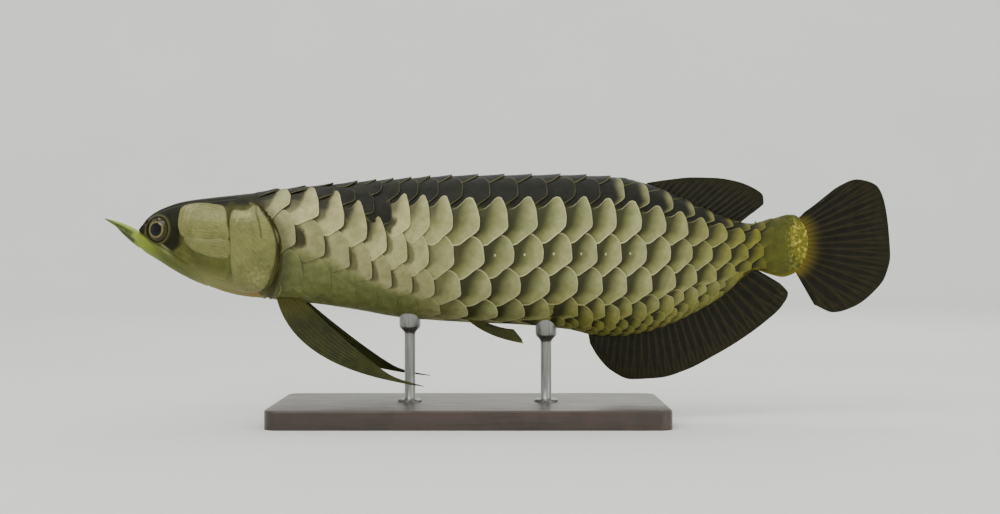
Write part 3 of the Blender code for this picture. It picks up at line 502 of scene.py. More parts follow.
def head_relief(along, up, side, point):
    """How far the modelling of the head stands out from the plain skin, or is cut into it."""
    on_head = fade(along, HEAD_END - 6, HEAD_END)
    height = np.zeros(along.shape)
    mouth, share = side_distance(along, up, MOUTH_LINE)
    open_here = fade(share, 0.93, 1.0)
    height -= 1.5 * hump(mouth, 0.6) * open_here
    height += 0.75 * hump(np.abs(mouth) - 1.9, 1.0) * open_here
    height += 0.55 * step(mouth, 2.0, 3.0) * fade(mouth, 5.6, 6.6) * step(share, 0.2, 0.34)
    jaw_seam, seam_share = side_distance(along, up, ((44.3, -12.6), (50, -19), (55, -30)))
    height -= 0.55 * hump(jaw_seam, 0.6) * step(seam_share, 0.02, 0.1)
    ridge, _ = side_distance(along, up, PREOPERCLE_RIDGE)
    height += 0.9 * hump(ridge, 1.5)
    canal, _ = side_distance(along, up, BROW_CANAL)
    height -= 0.32 * hump(canal, 0.8)
    height += 0.18 * hump(np.abs(canal) - 1.5, 0.7)
    throat, along_throat = side_distance(along, up, THROAT_EDGE)
    below = step(-throat, 0.2, 1.6) * step(along_throat, 0.03, 0.2)
    height += 0.3 * np.cos(throat * 2 * math.pi / 2.4) * below * fade(-throat, 9, 12)
    height -= 0.9 * hump(throat, 0.55) * step(along_throat, 0.1, 0.3)
    gill, _ = side_distance(along, up, GILL_LINE)
    height -= 1.5 * hump(gill, 0.8) * step(40 - up, 0, 8)
    for spot_along, spot_up, radius in NOSTRILS:
        ring = np.hypot(along - spot_along, up - spot_up)
        height += 0.55 * hump(ring - radius * 1.7, 0.45) - 2.2 * hump(ring, radius)
    for spot_along, spot_up in JAW_PORES:
        height -= 0.4 * hump(np.hypot(along - spot_along, up - spot_up), 0.65)
    eye = np.full(along.shape, 50.0)
    for one in (-1, 1):
        middle, outward, _, _ = eye_frame(one)
        offset = point - middle
        inward = offset @ outward
        ring = np.linalg.norm(offset - inward[:, None] * outward, axis=1)
        eye = np.where((side == one) & (inward > 0), np.minimum(eye, ring), eye)
    height = height * step(eye, 9.4, 11) + 0.85 * hump(eye - 10.1, 0.95)
    height -= 5.0 * fade(eye, 8.7, 9.5)
    return height * on_head, mouth, eye, gill


def skin_shape(s, t):
    along = skin_stations[np.rint(s * (len(skin_stations) - 1)).astype(int)]
    turn = 2 * t - 1
    point = lay(along, turn, 0)
    up = point[:, 2]
    side = np.where(turn < 0, -1, 1)
    height, mouth, eye, gill = head_relief(along, up, side, point)
    height = height * step(along, 0.05, 1.5)
    top, bottom, _ = outline(along)
    depth = (top - up) / np.maximum(top - bottom, 1)
    head = fade(along, 104, 116)
    snout = fade(along - 7 * step(up, -3, 5), 28, 34) * step(mouth, -0.5, 1.5)
    roof = np.clip(step(-depth, -0.17, -0.09) + snout, 0, 1) * head
    # Partly the pale edge of the upper lip, partly a painted glint on it.
    lip = hump(np.abs(mouth - 0.6) - 1.3, 0.9) * hump(along - 25, 4.5)
    jaw = fade(mouth, -1.5, 0.5) * fade(along, 34, 58)
    throat = hump(np.hypot((along - 88) / 13, (up + 32) / 6), 1.0)
    # Painted shade in the gill slit and in the gap between the cheek plates and the gill cover.
    slit = hump(gill - 1.5, 3.6) * step(40 - up, 0, 8)
    plate_gap_shade = hump(along - 74.2, 2.8) * step(up, -6, 8) * step(depth, 0.04, 0.12)
    return lay(along, turn, height), {
        "roof": roof, "jaw": jaw, "tip": fade(along, 6, 24), "throat": throat, "lip": lip,
        # The slit and socket marks are painted shade, in the gill slits and deep in the eye
        # sockets.
        "slit": np.maximum(slit, plate_gap_shade), "socket": fade(eye, 9.0, 9.9),
        "rim": hump(eye - 10.3, 0.9), "tail": step(along, 380, 480),
        "root": root_specks(along, up),
        "back": fade(depth, 0.16, 0.3) * (1 - head) * fade(along, 470, 492),
        "belly": step(depth, 0.72, 0.94) * fade(along, 300, 420)}


def calculate(operation, first, second=0.0):
    """A sum on two values."""
    return node(first.id_data, "Math", {0: first, 1: second}, operation=operation).outputs[0]


def times(first, second):
    """The product of two values."""
    return calculate("MULTIPLY", first, second)


skin_finish, tree, shader = start_surface("cast_skin", 0.5, 0.05, coat=0.03, coat_roughness=0.25,
                                          gloss=0.1)
clouds = grain(tree, 9.0, detail=4.0)
speckle = grain(tree, 1.1, detail=2.0)
flakes = grain(tree, 2.6, detail=4.0, roughness=0.7)
pitting = grain(tree, 0.55, detail=3.0, roughness=0.6)
jaw_tip = times(mark(tree, "jaw"), mark(tree, "tip"))
gold_specks = times(mark(tree, "root"), spread(flakes, 0.5, 0.64, 0.0, 0.8))
colour = paint(mottle(clouds, (64, 67, 28), (88, 90, 43), 0.35, 0.65),
               ("belly", (122, 120, 72)),
               ("tail", mottle(speckle, (82, 78, 18), (109, 104, 29), 0.35, 0.65)),
               (gold_specks, (204, 196, 90)),
               ("back", (26, 26, 12)),
               ("jaw", (82, 87, 36)),
               (jaw_tip, (120, 134, 46)),
               ("roof", mottle(clouds, (15, 16, 5), (32, 32, 10), 0.35)),
               # Painted glint on the pale edge of the lip.
               ("lip", (122, 124, 76)),
               (spread(mark(tree, "throat"), 0.0, 1.0, 0.0, 0.35), (150, 88, 44)),
               # Painted shade in the gill slits and in the gap in front of the gill cover.
               ("slit", (54, 51, 22)),
               ("rim", (74, 72, 36)),
               # Painted shade, near black, deep in each eye socket.
               ("socket", (14, 12, 8)),
               (spread(speckle, 0.58, 0.72, 0.0, 0.3), (38, 36, 16)))
finish(shader, colour, vary(clouds, 0.42, 0.58), (clouds, 0.35), (pitting, 0.12))

skin = shaped_grid("skin", (len(skin_stations) - 1, 224), skin_shape)
fit(skin, skin_finish, "head_skin", "head", "lower_jaw", "torso_front", "torso_rear",
    "tail_stalk")


# Behind each gill cover hangs a soft flap of skin that closes the gill slit, darkened with the
# painted shade of the slit, most at its free edge. It is cast as a thin strip along the slit,
# thick where it leaves the head and thin at its free edge.

FLAP_SECTION = ((8.5, -1.2), (8, -0.5), (5, 0.35), (2.4, 0.75), (0.9, 0.7), (0.5, 0.5), (0.9, 0.3),
                (2.4, 0), (5, -0.8))
FLAP_TOP, FLAP_BOTTOM = 37.5, -37.0
SIDES = ((-1, "left"), (1, "right"))


def closed_outline(points, t):
    """Points at these fractions round a smooth closed line through the corners."""
    corners = np.array(points, float)
    count = len(corners)
    spot = (t % 1) * count
    k = spot.astype(int)
    s = (spot - k)[:, None]
    before, first, second, after = (corners[(k + n) % count] for n in (-1, 0, 1, 2))
    bend = 2 * before - 5 * first + 4 * second - after
    return (2 * first + (second - before) * s + bend * s**2
            + (3 * first - before - 3 * second + after) * s**3) / 2


gill_path = smooth_path(GILL_LINE, 40)[::-1]


def gill_along(up):
    """How far behind the jaw tip the gill slit is at this height."""
    return np.interp(up, gill_path[:, 1], gill_path[:, 0])


for side, hand in SIDES:

    def flap_shape(s, t):
        taper = (1 - np.abs(2 * t - 1) ** 8) ** 0.5
        ahead, over = closed_outline(FLAP_SECTION, s).T
        up = FLAP_TOP + (FLAP_BOTTOM - FLAP_TOP) * t
        wave = 0.3 * np.sin(t * 23)
        ahead = 8 + (ahead - 8) * taper + wave * fade(ahead, 0, 4) * taper
        along = gill_along(up) - ahead
        # The flap carries the painted shade of the gill slit, darkest at its free edge.
        return lay(along, side * turn_at(along, up), -1.3 + (over + 1.3) * taper), {
            "slit": 0.2 + 0.7 * fade(ahead, 0.4, 3.4)}

    flap = shaped_grid(f"gill_flap_{hand}", (36, 150), flap_shape)
    fit(flap, skin_finish, "head_skin")


# The cheek and the gill cover are thin bony plates that lie on the head like shingles: two on
# the cheek, the large upper plate of the gill cover and the narrow lower one. Each is domed and
# finished in olive gold, with painted highlights in places, and fine lines that fan out from one
# corner.

CHEEK_UPPER = ((37.7, 32), (48, 34.6), (60, 33.8), (69.4, 31), (72.6, 19.5), (73.3, 7.9),
               (57, 8.3), (40.2, 9.4), (35.8, 16), (35.6, 25))
CHEEK_LOWER = ((40.4, 9.1), (57, 8), (73.4, 7.6), (73.8, -5), (64.4, -6), (53.4, -3), (44.8, 1.4))
OPERCLE = ((75.4, 27), (86, 28.6), (93, 32.4), (98.4, 27.5), (105, 18), (108.7, 6), (108.3, -5.3),
           (105, -15.8), (94.6, -19.5), (84, -20.3), (76, -18.8), (75, 4))
OPERCLE_CREASE = ((93.2, 34), (94.4, 26.5), (96.9, 18.8), (98.6, 9))
SUBOPERCLE = ((76, -16.8), (89.8, -17.5), (104.4, -14.8), (101, -25), (94.6, -29.8), (85.2, -31.4),
              (78.2, -28.6))


plate_finish, tree, shader = start_surface("pearl_plate", 0.38, 0.2, coat=0.2,
                                           coat_roughness=0.2, gloss=0.3)
clouds = grain(tree, 11.0, detail=4.0)
fine = grain(tree, 0.9, detail=3.0)
patches = grain(tree, 2.6, stretch=(1, 1, 0.6), detail=3.0)
fanned = node(tree, "CombineXYZ", {0: times(mark(tree, "fan"), 30.0),
                                   1: times(mark(tree, "reach"), 0.16)}).outputs[0]
striae = node(tree, "TexNoise", {"Vector": fanned, "Scale": 1.0, "Detail": 3.0}).outputs[0]
# Painted highlights, broken up by noise, on the top and lower lobe of the gill cover and the
# cheek's upper corner.
ragged = calculate("ADD", mark(tree, "frost"), vary(patches, -0.4, 0.4))
colour = paint(mottle(clouds, (90, 91, 42), (116, 115, 61)),
               (spread(striae, 0.45, 0.75, 0.0, 0.4), (138, 136, 80)),
               (spread(striae, 0.5, 0.2, 0.0, 0.35), (80, 77, 34)),
               (spread(mark(tree, "low"), 0.0, 1.0, 0.0, 0.3), (108, 104, 50)),
               # Painted highlights.
               (spread(ragged, 0.2, 1.0, 0.0, 0.6), (164, 160, 100)),
               (spread(mark(tree, "edge"), 0.93, 1.0, 0.0, 0.55), (72, 68, 30)),
               ("crease", (78, 70, 30)))
finish(shader, colour, vary(fine, 0.32, 0.5), (striae, 0.28), (clouds, 0.7),
       (fine, 0.05))

PLATES = (("cheek_upper", CHEEK_UPPER, 0.35, 1.05, (40, 27)),
          ("cheek_lower", CHEEK_LOWER, 0.3, 0.85, (44, 5)),
          ("opercle", OPERCLE, 1.0, 2.2, (77, 22)),
          ("subopercle", SUBOPERCLE, 0.7, 1.5, (78, -18)))
for side, hand in SIDES:
    for name, corners, edge, crown, root in PLATES:
        middle = np.mean(corners, axis=0)

        def plate_shape(s, t):
            rim = closed_outline(corners, t)
            over = np.clip(s / 0.8, 0, 1)
            reach = np.where(s < 0.8, over**0.8, np.clip((1 - s) / 0.16, 0, 1))
            spot = middle + (rim - middle) * reach[:, None]
            dome = edge + (crown - edge) * (1 - reach**5) ** 0.8
            ripple = 0.07 * np.sin(reach * 34) * step(reach, 0.25, 0.5) * fade(reach, 0.9, 1)
            height = np.where(s < 0.81, dome + ripple, np.where(s < 0.85, edge - 0.35, -1.2))
            away = spot - root
            along, up = spot.T
            crease, _ = side_distance(along, up, OPERCLE_CREASE)
            crease = hump(crease, 0.7) * (over * 0 + (name == "opercle"))
            height = height - 0.4 * crease * (s < 0.8)
            # Painted highlights along the top of the gill cover, on its lower lobe and at the
            # upper corner of the cheek.
            top = 0.62 * hump((up - 25) / 4, 1) * step(along, 74, 79) * fade(along, 88, 96)
            lobe_highlight = 0.6 * hump(np.hypot((along - 94) / 11, (up + 21) / 8), 1)
            corner = 0.5 * hump(np.hypot((along - 42) / 9, (up - 31) / 5), 1)
            outer = reach * (1 if "percle" in name else 0.965)
            marks = {"edge": outer, "reach": np.hypot(*away.T), "low": step(-up, 4, 26),
                     "fan": np.arctan2(away[:, 1], away[:, 0] + 6), "crease": crease,
                     "frost": top + lobe_highlight + corner}
            turn = side * turn_at(along, up)
            return lay(spot[:, 0], turn, height), marks

        plate = shaped_grid(f"{name}_{hand}", (50, 120), plate_shape)
        bpy.ops.object.shade_smooth_by_angle(angle=math.radians(50))
        fit(plate, plate_finish, "gill_plate",
            *([f"gill_cover_{hand}"] if name == "opercle" else []))


# Each eye is a large polished ball of tinted resin, a little flattened, let into its socket. It
# has a black pupil, a thin bronze ring and a dark iris, under a clear glossy coat.

eye_finish, tree, shader = start_surface("eye_resin", 0.12, 0.0, coat=0.2, coat_roughness=0.02,
                                         gloss=0.14)
flecks = grain(tree, 0.7, detail=4.0)
ring = mark(tree, "ring")
glow = mottle(flecks, (92, 84, 40), (136, 126, 66), 0.35)
colour = paint(blend(spread(ring, 0.48, 0.51), (2, 2, 3), glow),
               (spread(ring, 0.53, 0.64), mottle(flecks, (26, 24, 12), (62, 56, 28))),
               (spread(ring, 0.84, 0.92), (8, 7, 5)))
finish(shader, colour, vary(flecks, 0.08, 0.2))

for side, hand in SIDES:
    middle, outward, upward, sideways = eye_frame(side)

    def eye_shape(s, t):
        slope, angle = math.pi * s, 2 * math.pi * (t % 1)
        radius = np.sin(slope)
        points = (middle + np.outer(np.cos(slope) * EYE_HALF_DEPTH, outward)
                  + np.outer(radius * np.cos(angle) * EYE_RADIUS, upward)
                  + np.outer(radius * np.sin(angle) * EYE_RADIUS, sideways))
        return points, {"ring": np.where(s < 0.5, radius, 1)}

    eye = shaped_grid(f"eye_ball_{hand}", (48, 72), eye_shape)
    fit(eye, eye_finish, "eye", f"eye_{hand}")


# The body wears large overlapping scales, each a thin plate with a raised rear rim. Their fronts
# are let into the skin. They are olive with a thin bright rim, paler behind the head, near black
# on the back and gold at the tail. Painted shade darkens the front of each, where the scale ahead
# overlaps it, and the gaps beside the drawn-up tips. Row 3 is the lateral line.

SCALE_COLUMNS = ((0, 66), (2.57, 118.5), (3.57, 140.2), (4.57, 158.7), (5.57, 175.5),
                 (6.57, 189.8), (7.57, 204.8), (8.57, 220.5), (9.57, 239), (10.57, 261),
                 (12.57, 304.2), (13.57, 325.2), (15.57, 361.7), (17.57, 398.3), (19.57, 429.8),
                 (21.57, 457.3), (23, 474), (25.5, 503.2))
LAST_COLUMN = 25.5
ROWS_A_SIDE = 6
ROW_PLACES = ((115, 0.03, 0.06, 0.192, 0.44, 0.7), (134, 0.05, 0.1, 0.267, 0.505, 0.72),
              (152, 0.08, 0.16, 0.332, 0.567, 0.765), (167, 0.105, 0.21, 0.382, 0.625, 0.8),
              (183, 0.14, 0.29, 0.462, 0.69, 0.84), (195, 0.155, 0.335, 0.506, 0.72, 0.86),
              (209, 0.165, 0.352, 0.556, 0.742, 0.875), (227, 0.175, 0.36, 0.568, 0.752, 0.89),
              (250, 0.185, 0.375, 0.56, 0.75, 0.905), (290, 0.18, 0.358, 0.548, 0.724, 0.89),
              (320, 0.17, 0.335, 0.53, 0.7, 0.87), (350, 0.155, 0.317, 0.508, 0.681, 0.835),
              (385, 0.15, 0.31, 0.49, 0.685, 0.82), (420, 0.13, 0.297, 0.475, 0.687, 0.797),
              (435, 0.12, 0.272, 0.5, 0.727, 0.84), (449, 0.13, 0.291, 0.535, 0.767, 0.88),
              (461, 0.15, 0.335, 0.63, 0.9, 0.96), (485, 0.14, 0.33, 0.58, 0.82, 0.93))
NAPE_END, DARK_ROW_END, PETALS_END, DIM_ROW_START, STRAY_SCALE = 5.2, 6.9, 7.0, 14.5, 15.58
TAIL_SCALES_END = 486.0
SCALE_OUTLINE = ((0.57, 0), (0.56, 0.19), (0.5, 0.36), (0.3, 0.53), (0.04, 0.66), (-0.3, 0.6),
                 (-0.55, 0.36), (-0.64, 0), (-0.55, -0.36), (-0.3, -0.6), (0.04, -0.66),
                 (0.3, -0.53), (0.5, -0.36), (0.56, -0.19))
SCALE_RINGS = (0, 0.2, 0.38, 0.52, 0.64, 0.74, 0.81, 0.87, 0.91, 0.945, 0.975, 1)
DORSAL_BASE = (381, 450)
FIN_ROOTS = ((105, 5, -33), (121, 6, -33), (247, 3.5, -51))

column_along = smooth_curve(SCALE_COLUMNS)
row_stations, *row_shares = zip(*ROW_PLACES)
row_places = [smooth_curve(tuple(zip(row_stations, shares)))
              for shares in ([0] * len(row_stations), *row_shares, [1] * len(row_stations))]


def row_turn(along, row):
    """How far round from the back this row of scales lies."""
    row = (row + ROWS_A_SIDE) % (2 * ROWS_A_SIDE) - ROWS_A_SIDE
    places = np.stack([place_of(along) for place_of in row_places])
    k = np.minimum(np.abs(row).astype(int), ROWS_A_SIDE - 1)
    each = np.arange(len(row))
    share = places[k, each] + (places[k + 1, each] - places[k, each]) * (np.abs(row) - k)
    return np.where(row < 0, -share, share)


def row_shift(row, column):
    """How far behind the lateral line's scales those of this row are set, in columns."""
    above = np.interp(column, (3, 10.5), (0.54, -0.2))
    below = np.interp(column, (10, 12, 18), (0.45, 0.3, 0.85))
    return (above + 0.85, above + 0.35, above, 0, 0.23, below, below + 0.25)[abs(row)]


def scale_lift(along, turn):
    """How far the scales stand out here: less on the belly and at the root of each fin."""
    side = np.abs((turn + 1) % 2 - 1)
    faded = fade((1 - side) * 100, 0, 22)
    faded = np.maximum(faded, fade(TAIL_SCALES_END - along, 0, 26))
    at_dorsal = (along > DORSAL_BASE[0] - 14) & (along < DORSAL_BASE[1] + 14)
    faded = np.maximum(faded, at_dorsal * fade(side * 100, 0, 26))
    point = lay(along, side, 0)
    for root in FIN_ROOTS:
        faded = np.maximum(faded, fade(np.linalg.norm(point - root, axis=1), 0, 26))
    low_front = fade(along, 170, 240) * step(side, 0.62, 0.78)
    return (0.14 + 0.86 * (1 - faded)) * (1 - 0.75 * low_front)


def drawn_up(row, column):
    """Which scales are drawn up to a tip: front, all pale, late half-dark and stray ones."""
    front = (row == 3) & (column < PETALS_END)
    petal = front | (row == 2) & (column > DARK_ROW_END)
    stray = (row == 1) & (np.abs(column - STRAY_SCALE) < 0.3)
    return front, petal, (row == 1) & (column > DIM_ROW_START), stray


def one_scale(s, t):
    """A scale in its own measure: u towards the tail, v down the flank, and height."""
    rings = len(SCALE_RINGS) - 1
    spot = s * (rings + 3)
    reach = np.interp(spot, np.arange(rings + 4), SCALE_RINGS + (0.985, 0.8, 0))
    under = spot > rings + 0.5
    rim = closed_outline(SCALE_OUTLINE, t)
    return np.column_stack([rim * reach[:, None], np.where(under, -0.34, 0)]), {"reach": reach}


scale_finish, tree, shader = start_surface("scale_enamel", 0.4, 0.12, coat=0.05,
                                           coat_roughness=0.25, gloss=0.2)
clouds = grain(tree, 5.0, detail=4.0)
fine = grain(tree, 0.7, detail=3.0)
flakes = grain(tree, 2.6, detail=4.0, roughness=0.7)
reach, ahead, high, dark, shade = (mark(tree, name)
                                   for name in ("reach", "ahead", "high", "dark", "shade"))
ragged = calculate("ADD", reach, vary(fine, -0.025, 0.025))
rim = times(spread(ragged, 0.925, 0.965), spread(ahead, -0.45, -0.1))
rim = times(rim, spread(high, -0.35, 0.15, 1.0, 0.4))
# Painted shade at the front of each scale, under the rim of the scale ahead.
slanted = calculate("SUBTRACT", ahead, times(high, 0.3))
pocket_shade = calculate("ADD", spread(slanted, -0.26, 0.28, 0.84, 0.0),
                   spread(slanted, -0.2, -0.02, 0.16, 0.0))
uneven = calculate("ADD", ahead, mark(tree, "draw"))
spot = node(tree, "CombineXYZ", {0: uneven, 1: high}).outputs[0]
spot = node(tree, "Mapping", {"Vector": spot, "Location": (1.5, 0, 0), "Scale": (4.2, 3.1, 1)})
spot = node(tree, "VectorMath", {0: spot.outputs[0]}, operation="LENGTH").outputs["Value"]
# A crisp window of painted shade at the front of each pale scale, where the scale ahead overlaps
# it.
front_window_shade = spread(calculate("ADD", spot, vary(fine, -0.2, 0.2)), 0.75, 1.15, 1.0, 0.0)
spot = node(tree, "CombineXYZ", {0: ahead, 1: high}).outputs[0]
spot = node(tree, "VectorMath", {0: spot, 1: (-0.07, 0.05, 0)}, operation="DISTANCE")
pore = times(spread(spot.outputs["Value"], 0.026, 0.05, 0.6, 0.0),
                 mark(tree, "line"))
# The base olive, painted darker at the front of each scale and lighter towards its rear, as shade
# under the scale ahead.
colour = paint(mottle(clouds, (97, 100, 50), (116, 119, 67)),
               (spread(ahead, -0.3, 0.5), mottle(clouds, (133, 134, 87), (157, 157, 110))),
               ("pale", mottle(clouds, (133, 130, 84), (160, 155, 110))),
               # Plain scales in a uniform olive, low on the front flank and at the tail root; on
               # the low flank their darkness is partly painted shade.
               ("plain", mottle(clouds, (88, 93, 47), (110, 115, 66))),
               # Painted shade in the scale pockets.
               (times(pocket_shade, mark(tree, "pocket_shade")), (38, 38, 16)),
               # Painted shade in the windows at the front of the pale scales.
               (times(front_window_shade, mark(tree, "front_window_shade")), (56, 53, 26)),
               (times(rim, mark(tree, "rim")), (190, 186, 138)),
               (pore, (206, 204, 160)))
colour = blend(mark(tree, "gilt"), colour, (188, 181, 86), "MULTIPLY")
specks = times(spread(flakes, 0.5, 0.64, 0.0, 0.8), mark(tree, "specks"))
# The dark mark holds the near-black scales of the back and the painted shade beside the front
# tips.
colour = paint(colour, (specks, (204, 196, 90)),
               (dark, blend(rim, mottle(clouds, (13, 13, 7), (26, 26, 13)), (84, 82, 48))))
shade = node(tree, "CombineColor", {0: shade, 1: shade, 2: shade}).outputs[0]
roughness = calculate("ADD", vary(fine, 0.36, 0.54), times(dark, 0.2))
rings_seen = calculate("SINE", times(reach, 88.0))
finish(shader, blend(1.0, colour, shade, "MULTIPLY"), roughness, (rings_seen, 0.04, 0.8),
       (pore, 0.5), (clouds, 0.25), (fine, 0.06))


def scale_height(u, v, high, reach, petal, tip):
    """How far a scale stands out of the skin, with its raised rear rim and its hollow middle."""
    height = 0.15 + 1.1 * (u + 0.5) - 0.25 * (v / 0.69) ** 2
    height += (0.2 * hump(reach - 0.955, 0.032) * step(u, -0.1, 0.35)
               - 0.16 * fade(reach, 0, 0.75)
               + 0.5 * (reach - 0.4) * step(u, 0.2, 0.6) * (1 + tip))
    return height + 0.35 * petal * step(high, 0.15, 0.5) * step(u, -0.05, 0.15)


def scale_looks(u, high, row, column, along, up, turn, shade):
    """Where scales are dark, pale, plain or gilt, where painted shade lies and where rims show."""
    front, petal, late, stray = drawn_up(row, column)
    in_dark = (row < 2) | (row == 2) & (column < DARK_ROW_END)
    dim = 0.6 * late * step(u + 0.35 * high, 0.16, 0.55)
    dim = np.maximum(dim, 0.85 * (stray & (turn < 0)) * step(u + 0.25 * high, -0.04, 0.2))
    dark = in_dark * (1 - dim) * (1 - 0.7 * step(along, 430, 485))
    # Painted shade, near black, in the gaps beside the drawn-up tips of the front scales.
    between = fade(u - 0.25 * high + np.interp(column, (3, 6), (0, 0.25)), -0.14, 0)
    between = front * between * np.maximum(step(high, -0.14, 0.14), 0.7 * step(high, -0.7, -0.4))
    between = np.maximum(between, front * (column < 1.6) * step(high, -0.1, 0.2))
    foremost = petal & (row == 2) & (column < DARK_ROW_END + 1)
    between = np.maximum(between, foremost * fade(u, -0.12, 0.0) * step(0.1 - high, 0, 0.2))
    pale = fade(along, 205, 250) * (1 - in_dark)
    plain = fade(along, 200, 245) * step(row - high, 4.1, 4.6)
    plain = np.maximum(plain, step(along, 462, 478))
    low_rear = step(np.abs(turn), 0.6, 0.9) * step(along, 260, 340)
    tone = shade * (1 + 0.14 * petal * pale) * (1 - 0.12 * (row > 3) * pale)
    # A band of painted shade on the scales just behind the gill slit.
    tone = tone * (1 - 0.5 * (1 - in_dark) * hump(along - gill_along(up) - 4.5, 5.5))
    # How much painted shade lies in each pocket: less on pale scales, except at the very front and
    # under drawn-up tips.
    pocket_shade = 0.92 - pale * (0.92 - 0.8 * petal * step(high, -0.2 - 0.35 * front, 0.3))
    pocket_shade = np.maximum(pocket_shade, 0.7 * fade(u, -0.42, -0.26))
    # On the pale scales the painted shade at the front is a crisp window instead of a soft pocket.
    front_window_shade = pale * (1 - plain) * (1 - 0.35 * step(column, 3.4, 4.4))
    front_window_shade = front_window_shade * ~(front & (column < PETALS_END - 1.5))
    # dark holds both the dark scales of the back and the painted shade between the tips.
    return {"shade": tone, "dark": np.maximum(dark, 0.85 * between), "pale": pale,
            "plain": plain, "line": (row == 3) & (along > 250) & (along < 378),
            "pocket_shade": pocket_shade * (1 - plain),
            "front_window_shade": front_window_shade * np.interp(row, (2, 3, 4, 5), (0, 1, 1, 0.5)),
            "rim": (1 - 0.6 * pale) * (1 - 0.85 * plain),
            "gilt": np.maximum(step(along, 372, 478), 0.75 * low_rear),
            "specks": root_specks(along, up)}


def coat_of_scales(name, cells, seed, lattice, patch):
    """A coat of scales, one for each column and row in cells, modelled once and copied."""
    rings = len(SCALE_RINGS) + 2
    coat = shaped_grid(name, (rings, 30), one_scale, in_frame=lambda points: points)
    copies = coat.modifiers.new("copies", "ARRAY")
    copies.count = len(cells)
    copies.use_relative_offset = False
    copies.use_constant_offset = True
    copies.constant_offset_displace = (0, 0, 0)
    bpy.ops.object.modifier_apply(modifier=copies.name)
    mesh = coat.data
    count = len(mesh.vertices) // len(cells)
    u, v, thick = values_of(mesh.vertices, "co", 3)
    reach = values_of(mesh.attributes["reach"].data, "value", kind=np.float32)
    cells = np.array(cells, float)
    cell = np.repeat(np.arange(len(cells)), count)
    draws = np.random.default_rng(seed)
    shade = 1 + 0.05 * draws.standard_normal(len(cells))
    tip = 0.16 * draws.standard_normal(len(cells))
    wave = draws.uniform(0, 2 * math.pi, len(cells))
    width = draws.uniform(-0.07, 0.07, len(cells))
    angle = np.arctan2(v, u)
    wavy = 1 + 0.012 * np.sin(5 * angle + wave[cell]) + 0.008 * np.sin(9 * angle - wave[cell])
    u, v = u * wavy, v * wavy
    column = cells[cell, 0]
    along, turn, row = lattice(cells[cell], u, v)
    high = np.where(np.abs(row) % ROWS_A_SIDE == 0, np.where(row == 0, -np.abs(v), np.abs(v)),
                    -v * np.sign(row))
    row = np.abs(row)
    lift = scale_lift(along, turn)
    height = scale_height(u, v, high, reach, drawn_up(row, column)[1], tip[cell])
    height = height * lift + thick * (0.4 + 0.6 * lift)
    up = lay(along, turn, 0)[:, 2]
    under_cover = fade(along - gill_along(up), 0.5, 3.5) * (along < HEAD_END)
    height = height * (1 - under_cover) - 1.6 * under_cover
    keep_marks(mesh, {"ahead": u, "high": high, "draw": width[cell],
                      **scale_looks(u, high, row, column, along, up, turn, shade[cell])})
    mesh.vertices.foreach_set("co", place(lay(along, turn, height)).ravel())
    s, t = values_of(mesh.uv_layers["OFBake"].data, "uv", 2)
    share = np.interp(s * rings, np.arange(rings + 1), SCALE_RINGS + (1.02, 1.05, 1.08))
    at = values_of(mesh.loops, "vertex_index", kind=np.int64)
    uv = patch(cells[at // count], closed_outline(SCALE_OUTLINE, t) * share[:, None])
    mesh.uv_layers["OFBake"].data.foreach_set("uv", uv.ravel())
    mesh.update()
    fit(coat, scale_finish, "scales")


def body_lattice(cell, u, v):
    """Where a point of a scale lies. Those that show along the back are drawn up to a tip."""
    column, signed_row = cell.T
    row, side = np.abs(signed_row), np.sign(signed_row)
    high = -v * side
    front, petal, late, stray = drawn_up(row, column)
    drawn = np.where(front, np.interp(column, (4, 6.3), (0.5, 0.12)), 0.3 * petal)
    drawn = drawn + 0.25 * late + 0.5 * stray
    narrow = (row == 5) * step(column, 11.5, 13)
    merged = (row == 0) * fade(column, NAPE_END - 0.6, NAPE_END + 0.4)
    v = v * (1 - 0.25 * petal * step(high, 0.2, 0.6) * step(0.12 - u, 0, 0.3))
    u = u - 0.25 * step(-high, 0.12, 0.46) + 0.1 * step(high, 0.25, 0.6) * ~petal
    v = v * (1 - 0.62 * narrow * (high < 0)) * (1 + merged)
    v = v - side * drawn * step(high, 0.2, 0.55) * hump(u - 0.35 + 0.11 * (row == 3), 0.24)
    u = u * (1 - 0.22 * narrow)
    along = column_along(np.clip(column + u, 0, LAST_COLUMN))
    return along, row_turn(along, signed_row + v), signed_row


def body_patch(cell, rim):
    """The scale's own patch of the finish, near its place on the body."""
    across = (cell[:, 0] + rim[:, 0] * 0.74) / (LAST_COLUMN + 1)
    down = (cell[:, 1] + rim[:, 1] * 0.66 + 6) / 13
    return np.column_stack([across, down])


def scales_of(rows):
    """The places of the scales that show, in these rows."""
    cells = []
    for row in rows:
        for k in range(int(LAST_COLUMN)):
            column = k + row_shift(row, k)
            rear = column_along(np.array([column + 0.5]))
            up = lay(rear, row_turn(rear, np.array([float(row)])), 0)[:, 2]
            on_body = 0.5 <= column <= LAST_COLUMN - 0.5 and rear[0] - gill_along(up)[0] > 5
            merged = abs(row) == 1 and column < NAPE_END
            under_fin = row == 6 and rear[0] > 322
            if on_body and not merged and not under_fin:
                cells.append((column, row))
    return cells


for name, rows, seed in (("back", (0,), 5), ("left", range(-5, 0), 11),
                         ("right", range(1, 6), 12), ("belly", (6,), 6)):
    coat_of_scales("scales_" + name, scales_of(rows), seed, body_lattice, body_patch)

SMALL_ROWS = ((0.0, 1, 14.5, 15.0), (0.4, 2, 9.5, 8.0), (0.68, 2, 8.5, 7.0), (0.9, 2, 8.0, 6.0))
SMALL_ROW_TOP = ((322, 0.885), (345, 0.855), (365, 0.838), (385, 0.835), (405, 0.825),
                 (425, 0.83), (445, 0.86))
HALF_GIRTH = ((318, 132), (362, 132), (425, 83), (464, 44))
SMALL_START, SMALL_END = 13, 20

